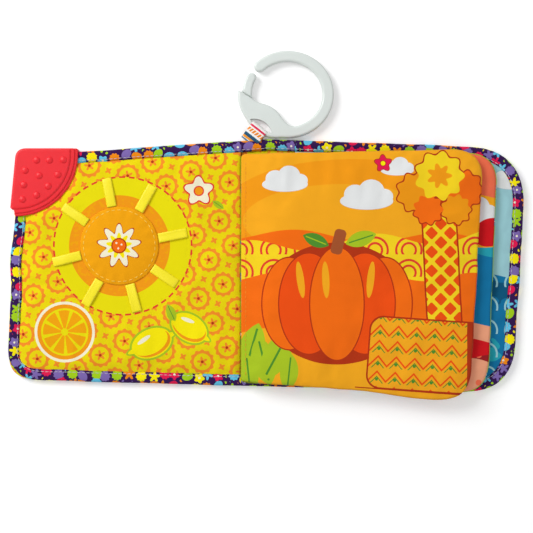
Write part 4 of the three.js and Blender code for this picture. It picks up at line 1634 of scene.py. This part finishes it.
def page_print(art: Print) -> None:
    """Prints the front cover's inside: a small flower lattice, a sun field with a dashed rim, and fruit."""
    pitch = 20.5
    cell = art.tiled((pitch, pitch), (3, 5), 30)
    art.ink(art.petals((0, 0), 9.1, 12, 0.06, at=cell), Ink.MOTIF_ORANGE)
    art.ink(art.disc((0, 0), 6.2, cell), Ink.PAGE_YELLOW)
    art.ink(art.petals((0, 0), 3.9, 5, 0.3, at=cell), Ink.MOTIF_ORANGE)
    art.ink(art.disc((0, 0), 1.0, cell), Ink.FRUIT_DARK)
    # Half a pitch along both of the lattice's own directions, which lie at 30 degrees to the page.
    between = art.tiled((pitch, pitch), (3 + pitch / 2 * 0.366, 5 + pitch / 2 * 1.366), 30)
    art.ink(art.petals((0, 0), 2.6, 4, 0.25, at=between), Ink.MOTIF_ORANGE)
    centre = (-105.1, 12.3)
    art.ink(art.disc(centre, 49.8), Ink.SUN_PALE)
    dash = art.math("LESS_THAN", art.math("FRACT", art.bearing(art.local(centre), 45 / TAU)), 0.62)
    art.ink(art.both(art.ring(centre, 49.8, 0.65), dash), Ink.STITCH_RED)
    art.ink(art.disc(PATCH_CENTRE, 36.5), Ink.SUN_RING)
    flecks = art.math("GREATER_THAN", art.noise(3.2, 1.0), 0.56)
    art.ink(art.both(art.ring(PATCH_CENTRE, 32.8, 2.8), flecks), Ink.PAGE_ORANGE)
    citrus(art, -147, -50, 20)
    lemon(art, -84, -58, 15, 24)
    lemon(art, -57, -47, 14, -32)
    leafy(art, -70, -36, 9, 115, Ink.GRASS, Ink.GRASS_DARK)
    blossom(art, -50, 52, 10.5, Ink.CREAM, Ink.SUN_RING, Ink.STITCH_RED)
    leafy(art, -36, 42, 6.5, -35, Ink.GRASS, Ink.GRASS_DARK)


def leaf_1_front_print(art: Print) -> None:
    """Prints the first leaf: a sunset field with a big round fruit, a tall patterned tree and clouds."""
    art.ink(art.ellipse((60, 34), (96, 40)), Ink.SUN_RING)
    art.ink(art.ellipse((52, 30), (70, 26)), Ink.SKY_ORANGE)
    cloud(art, 12, 56, 1.25)
    cloud(art, 70, 44, 1.45)
    cloud(art, 92, 66, 0.9)
    art.ink(art.below(20, 4, 105, 0.4, -0.02), Ink.DEEP_ORANGE)
    hill = art.below(12, 5, 90, 2.6, 0.05)
    art.ink(hill, Ink.HILL)
    cell = art.tiled((24.0, 16.0), (4, -2))
    arches = art.either(art.ring((0, -5), 9, 0.8, cell), art.ring((0, -5), 5, 0.8, cell))
    meadow = art.both(hill, art.math("GREATER_THAN", art.y, -12.0))
    art.ink(art.both(meadow, arches), Ink.STITCH_RED)
    art.ink(art.below(-10, 3, 70, 1.0), Ink.DEEP_ORANGE)
    art.ink(art.below(-48, 4, 120, 0.5), Ink.SKY_ORANGE)
    for x, y, length, angle in ((-12, -62, 26, 74), (-3, -70, 24, 104), (6, -66, 26, 62),
                                (15, -78, 18, 84), (-14, -80, 20, 96)):
        leafy(art, x, y, length, angle, Ink.GRASS, Ink.GRASS_DARK)
    art.ink(art.ellipse((49, -29), (53.6, 43.4)), Ink.FRUIT_DARK)
    for dx, rx, ink in ((-34, 19, Ink.DEEP_ORANGE), (34, 19, Ink.DEEP_ORANGE), (-20, 21, Ink.FRUIT),
                        (20, 21, Ink.FRUIT), (0, 19, Ink.DEEP_ORANGE)):
        height = 40 - abs(dx) * 0.22
        art.ink(art.ellipse((49 + dx, -29), (rx + 0.9, height + 0.9)), Ink.FRUIT_DARK)
        art.ink(art.ellipse((49 + dx, -29), (rx, height)), ink)
    for dx, angle in ((-26, 8), (-8, 3), (24, -6)):
        art.ink(art.ellipse((49 + dx, -12), (2.6, 13), angle), Ink.SKY_ORANGE)
    art.ink(art.bar((50, 15), (4.2, 9), -14, 3), Ink.STEM_BROWN)
    leafy(art, 66, 17, 15, 18, Ink.GRASS, Ink.GRASS_DARK)
    leafy(art, 34, 16, 13, 158, Ink.GRASS_DARK, Ink.GRASS)
    spots = art.tiled((9.5, 9.5), (2, 1), 45)
    trunk = art.either(art.bar((124, -12), (13, 78), 3, 8), art.ellipse((120, -86), (26, 20)))
    art.ink(trunk, Ink.FRUIT_DARK)
    inside = art.either(art.bar((124, -12), (11.8, 77), 3, 7), art.ellipse((120, -86), (24.6, 19)))
    art.ink(inside, Ink.HILL)
    art.ink(art.both(inside, art.bar((0, 0), (3.4, 3.4), radius=1.0, at=spots)), Ink.FRUIT)
    crown = ((106, 50, 15, Ink.SUN_RING), (140, 52, 14, Ink.DEEP_ORANGE), (114, 38, 11, Ink.DEEP_ORANGE),
             (134, 38, 11, Ink.SUN_RING), (122, 62, 18, Ink.HILL))
    for x, y, radius, _ in crown:
        art.ink(art.petals((x, y), radius + 1, 9, 0.08), Ink.FRUIT_DARK)
    for x, y, radius, ink in crown:
        art.ink(art.petals((x, y), radius, 9, 0.09), ink)
    art.ink(art.petals((122, 62), 9, 7, 0.2), Ink.SUN_RING)
    blossom(art, 82, 71, 6, Ink.PINK_RED, Ink.YELLOW, Ink.FRUIT_DARK)
    right = art.math("GREATER_THAN", art.x, 62.0)
    for height, ink in ((-83.6, Ink.FRUIT_DARK), (-84.4, Ink.SKY_ORANGE)):
        hem = art.math("MULTIPLY_ADD", art.x, -0.074, height)
        art.ink(art.both(right, art.math("LESS_THAN", art.y, hem)), ink)
    patch = art.both(art.bar((112, -66), (40, 25), -4, 9), art.math("LESS_THAN", art.x, 142.0))
    art.ink(art.bar((112, -66), (41.2, 26.2), -4, 10), Ink.FRUIT_DARK)
    art.ink(patch, Ink.SKY_ORANGE)
    zigzag = art.tiled((13.0, 11.0), (5, 2), -4)
    x, y = art.split(zigzag)
    slope = art.math("SUBTRACT", y, art.math("MULTIPLY_ADD", art.math("ABSOLUTE", x), -1.1, 3.0))
    for level, half, ink in ((0.0, 0.85, Ink.FRUIT), (-3.6, 0.5, Ink.GRASS_DARK)):
        art.ink(art.both(patch, art.math("COMPARE", slope, level, half)), ink)
    art.ink(art.both(patch, art.disc((0, -2.6), 1.1, zigzag)), Ink.GRASS_DARK)


def leaf_1_back_print(art: Print) -> None:
    """Prints the first leaf's back: pink leaves on red."""
    cell = art.tiled((30.0, 26.0), (4, 6), 20)
    for x, y, angle, ink in ((-6, 2, 40, Ink.LEAF_PINK), (7, -4, 130, Ink.CORAL)):
        leafy(art, x, y, 9.5, angle, ink, Ink.DARK_RED, cell)


def leaf_2_front_print(art: Print) -> None:
    """Prints the second leaf: a coral sky with a cloud, red and peach hills, and a strip of sea."""
    art.ink(art.below(48, 4, 120, 1.2), Ink.SKY_ORANGE)
    cloud(art, 148, 34, 1.3)
    cloud(art, 60, 40, 1.3)
    art.ink(art.below(14, 3, 90, 0.2), Ink.SEA_LIGHT)
    art.ink(art.below(6, 2, 44, 0.2), Ink.SEA)
    art.ink(art.ellipse((160, 22), (13, 10), 20), Ink.RED)
    art.ink(art.below(-42, 6, 150, 3.4), Ink.PEACH)
    art.ink(art.below(-58, 5, 110, 0.2), Ink.RED)
    hill = art.below(-70, 4, 80, 1.4)
    art.ink(hill, Ink.DARK_RED)
    art.ink(art.ellipse((140, -84), (30, 16)), Ink.PEACH)
    spots = art.tiled((14.0, 14.0), (3, 3), 45)
    art.ink(art.both(hill, art.disc((0, 0), 2.2, spots)), Ink.CORAL)


def leaf_2_back_print(art: Print) -> None:
    """Prints the second leaf's back: darker leaves on lime."""
    cell = art.tiled((27.0, 27.0), (0, 0), 12)
    for x, y, angle, ink in ((-5, 4, 60, Ink.GRASS_DARK), (6, -6, 150, Ink.SEA_LIGHT)):
        leafy(art, x, y, 8.5, angle, ink, Ink.CREAM, cell)


def sea_print(art: Print) -> None:
    """Prints the back cover's inside: a pale sky over a sea with darker drifts and small waves."""
    cloud(art, 176, 58, 1.1)
    cloud(art, 70, 46, 1.4)
    sea = art.below(-10, 2, 50, 0.5)
    art.ink(sea, Ink.SEA)
    depth = art.noise(26, 2.0)
    art.ink(art.both(sea, art.math("GREATER_THAN", depth, 0.56)), Ink.SEA_DARK)
    art.ink(art.both(sea, art.math("LESS_THAN", depth, 0.38)), Ink.SEA_LIGHT)
    waves = art.tiled((22.0, 17.0), (4, 8))
    art.ink(art.both(art.ring((0, -6), 8, 0.7, waves), sea), Ink.TEAL)


def scattered(art: Print, pitch: float) -> tuple[NodeSocket, NodeSocket, list[NodeSocket]]:
    """Scatters motifs without order.

    Args:
        art: The print.
        pitch: Their mean distance apart, in millimetres.

    Returns:
        Coordinates about each motif's middle, its bright ink, and three random numbers that each motif keeps.
    """
    bright = [Ink.SKY_BLUE, Ink.PINK_RED, Ink.ORANGE, Ink.LIME, Ink.YELLOW, Ink.LAVENDER]
    cells = put(art.tree, "TexVoronoi", {"Vector": art.plan, "Scale": 1 / pitch, "Randomness": 0.5},
                voronoi_dimensions="2D").outputs
    chance = put(art.tree, "SeparateColor", {0: cells["Color"]}).outputs
    ramp = put(art.tree, "ValToRGB", {0: chance[0]})
    ramp.color_ramp.interpolation = "CONSTANT"
    stops = ramp.color_ramp.elements
    for index, ink in enumerate(bright):
        stop = stops[index] if index < 2 else stops.new(index / len(bright))
        stop.position = index / len(bright)
        stop.color = srgb(ink.value)
    return art.vector("SUBTRACT", art.plan, cells["Position"]), ramp.outputs[0], list(chance)


def tape_print(art: Print) -> None:
    """Prints the binding: flowers, stars and dots in bright inks, scattered without order along the tape."""
    radius = 4.0
    here, colour, chance = scattered(art, 8.3)
    turned = put(art.tree, "VectorRotate", {"Vector": here, "Angle": art.math("MULTIPLY", chance[1], TAU)},
                 rotation_type="Z_AXIS").outputs[0]
    kinds = [(art.petals((0, 0), radius * 1.1, 5, 0.3, at=turned), 0.0, 0.26),
             (art.ellipse((0, 0), (radius, radius * 0.76), at=turned), 0.26, 0.62),
             (art.petals((0, 0), radius, 10, 0.08, at=turned), 0.62, 0.9),
             (art.petals((0, 0), radius, 5, 0.16, at=turned), 0.9, 1.01)]
    for mask, low, high in kinds:
        picked = art.math("COMPARE", chance[2], (low + high) / 2, (high - low) / 2)
        art.ink(art.both(mask, picked), colour)
    art.ink(art.both(art.math("GREATER_THAN", chance[2], 0.9), art.disc((0, 0), 0.8, here)), Ink.CREAM)
    clear = art.math("GREATER_THAN", art.vector("LENGTH", here), 5.4)
    here, colour, _ = scattered(art, 4.6)
    art.ink(art.both(clear, art.disc((0, 0), 1.0, here)), colour)


def purple_print(art: Print) -> None:
    """Prints the outer cloth: small pale dots and rings on purple."""
    cell = art.tiled((16.0, 16.0), (0, 0), 45)
    art.ink(art.disc((0, 0), 1.8, cell), Ink.LAVENDER)
    between = art.tiled((16.0, 16.0), (0, 11.31), 45)
    art.ink(art.petals((0, 0), 2.6, 5, 0.3, at=between), Ink.LAVENDER)


def patch_print(art: Print) -> None:
    """Prints the round patch: a plain orange centre with a wheel of pale drops and a small flower."""
    for radius, depth, ink in ((16.5, 0.2, Ink.FRUIT_DARK), (15.6, 0.21, Ink.CREAM), (9.4, 0.2, Ink.YELLOW)):
        art.ink(art.petals(PATCH_CENTRE, radius, 9, depth, 10), ink)
    art.ink(art.disc(PATCH_CENTRE, 5.6), Ink.FRUIT_DARK)
    art.ink(art.disc(PATCH_CENTRE, 4.7), Ink.DEEP_ORANGE)
    for x, y in ((-109.2, 14.3), (-105.6, 13.2), (-107.9, 10.4)):
        art.ink(art.disc((x, y), 0.7), Ink.CREAM)


@dataclass
class Looks:
    """Every material of the book."""

    cloth: ClothFinish = field(default_factory=ClothFinish)
    satin: SatinFinish = field(default_factory=SatinFinish)

    def __post_init__(self) -> None:
        """Makes the materials."""
        self.page = cloth_material("page_cloth", self.cloth, Ink.PAGE_YELLOW, page_print)
        self.sea = cloth_material("sea_cloth", self.cloth, Ink.TEAL, sea_print)
        self.purple = cloth_material("purple_cloth", self.cloth, Ink.PURPLE, purple_print)
        self.tape = cloth_material("binding_tape", self.cloth, Ink.PURPLE, tape_print, on_uv=True)
        self.patch = cloth_material("patch_cloth", self.cloth, Ink.PAGE_ORANGE, patch_print)
        self.leaf_1_front = cloth_material("leaf_1_front", self.cloth, Ink.SKY_ORANGE, leaf_1_front_print)
        self.leaf_1_back = cloth_material("leaf_1_back", self.cloth, Ink.RED, leaf_1_back_print)
        self.leaf_2_front = cloth_material("leaf_2_front", self.cloth, Ink.CORAL, leaf_2_front_print)
        self.leaf_2_back = cloth_material("leaf_2_back", self.cloth, Ink.LIME, leaf_2_back_print)
        self.thread = plain_material("pale_thread", "d3ccda", 0.7)
        self.yellow_thread = plain_material("yellow_thread", "ffd95a", 0.7)
        self.orange_thread = plain_material("orange_thread", "ef9a1c", 0.7)
        self.tag_satin = satin_material("yellow_satin", self.satin, Ink.YELLOW)
        self.ribbon_satin = satin_material("striped_satin", self.satin, Ink.WHITE, stripes=True)
        self.silicone = moulded_material("red_silicone", SILICONE, "f0222e")
        self.plastic = moulded_material("pale_plastic", ABS_PLASTIC, "dfe6e2")
        self.wadding = plain_material("wadding", "f5f3ee", 0.9)
        self.film = plain_material("crinkle_film", "d9dde0", 0.25)


def dress_inside(look: Looks) -> None:
    """Gives the pads and the film that stay inside the covers and the patch their materials."""
    for material, names in ((look.wadding, ("back_pad", "front_pad", "round_patch_wadding")),
                            (look.film, ("front_crinkle_film",))):
        for name in names:
            for material_slot in bpy.data.objects[name].material_slots:
                material_slot.material = material


@dataclass
class Studio:
    """White table top, soft lights and the camera straight above."""

    centre: tuple[float, float] = (-0.0011, -0.0026)
    height: float = 0.75
    across: float = 0.389
    world: float = 0.45
    key: float = 15.0
    fill: float = 3.0
    table_lift: float = 0.22
    table_top: float = -0.0004

    def light(self, name: str, place: Spot, size: float, power: float) -> Object:
        """Adds one soft light that looks at the book."""
        data = bpy.data.lights.new(name, "AREA")
        data.size = size
        data.energy = power
        lamp = stand(name, data, place)
        aim = Vector((*self.centre, 0)) - Vector(place)
        lamp.rotation_euler = aim.to_track_quat("-Z", "Y").to_euler()
        return lamp

    def surround(self) -> None:
        """Makes the world, which the camera sees white and which lights the book with less than that."""
        world = bpy.data.worlds.new("studio")
        world.use_nodes = True
        tree = world.node_tree
        background = tree.nodes["Background"]
        background.inputs["Color"].default_value = (1, 1, 1, 1)
        direct = put(tree, "LightPath").outputs["Is Camera Ray"]
        glow = put(tree, "Math", {0: direct, 1: 1 - self.world, 2: self.world}, operation="MULTIPLY_ADD")
        tree.links.new(glow.outputs[0], background.inputs["Strength"])
        bpy.context.scene.world = world

    def table(self) -> Object:
        """Makes the table, which the camera sees a little brighter than it lights the book."""
        bm = bmesh.new()
        bmesh.ops.create_grid(bm, x_segments=1, y_segments=1, size=3)
        bmesh.ops.translate(bm, verts=bm.verts, vec=(0, 0, self.table_top))
        floor = finish_mesh("table_top", bm, smooth_faces=False)
        white = Surface("white_table", {"Base Color": (0.93, 0.93, 0.93, 1), "Roughness": 0.9,
                                        "Emission Color": (1, 1, 1, 1)})
        seen = put(white.tree, "LightPath").outputs["Is Camera Ray"]
        apart = put(white.tree, "VectorMath", {0: white.place}, operation="LENGTH").outputs["Value"]
        far = put(white.tree, "MapRange", {0: apart, 1: 0.35, 2: 1.2, 3: self.table_lift, 4: 0.9}).outputs[0]
        lift = put(white.tree, "Math", {0: seen, 1: far}, operation="MULTIPLY")
        white.tree.links.new(lift.outputs[0], white.shader.inputs["Emission Strength"])
        floor.data.materials.append(white.material)
        return floor

    def camera(self) -> Object:
        """Makes the camera, straight above and looking down."""
        data = bpy.data.cameras.new("camera")
        data.sensor_width = 36
        data.lens = data.sensor_width * self.height / self.across
        data.dof.use_dof = False
        return stand("camera", data, (*self.centre, self.height))

    def build(self) -> None:
        """Builds the stage."""
        self.surround()
        floor = self.table()
        key = self.light("key_light", (-0.95, 0.7, 0.95), 0.7, self.key)
        fill = self.light("fill_light", (0.75, -0.35, 1.15), 1.1, self.fill)
        camera = self.camera()
        scene = bpy.context.scene
        scene.camera = camera
        scene.view_settings.view_transform = "Standard"


def main() -> None:
    """Builds the whole scene."""
    logging.basicConfig(level=logging.INFO)
    look = Looks()
    covers = Covers()
    covers.build(look)
    first = Leaf("leaf_1", middle=15.6, root_top=78, root_bottom=-85, top=(154.5, 81.5, 24),
                 bottom=(143.5, -97, 20), seed=41, corner_sag=3.4, crown=(2.9, 2.1), wrinkle=(0.7, 0.35),
                 give=(1.5, 0.25), back_lip=0.1)
    first.build(look.leaf_1_front, look.leaf_1_back, ("leaf_orange", "leaf_red"), look.orange_thread)
    second = Leaf("leaf_2", middle=9.6, root_top=78, root_bottom=-86, top=(165, 79, 22),
                  bottom=(158, -94, 22), seed=71, root_sag=1.5)
    second.build(look.leaf_2_front, look.leaf_2_back, ("leaf_coral", "leaf_lime"), look.orange_thread)
    for leaf in (first, second):
        leaf.filling(look.film, look.wadding)
    SunPatch(covers).build(look)
    Teether().build(covers, look.silicone)
    Clip().build(look.plastic)
    HangingRibbon().build(look.ribbon_satin)
    dress_inside(look)
    Studio().build()


if __name__ == "__main__":
    main()
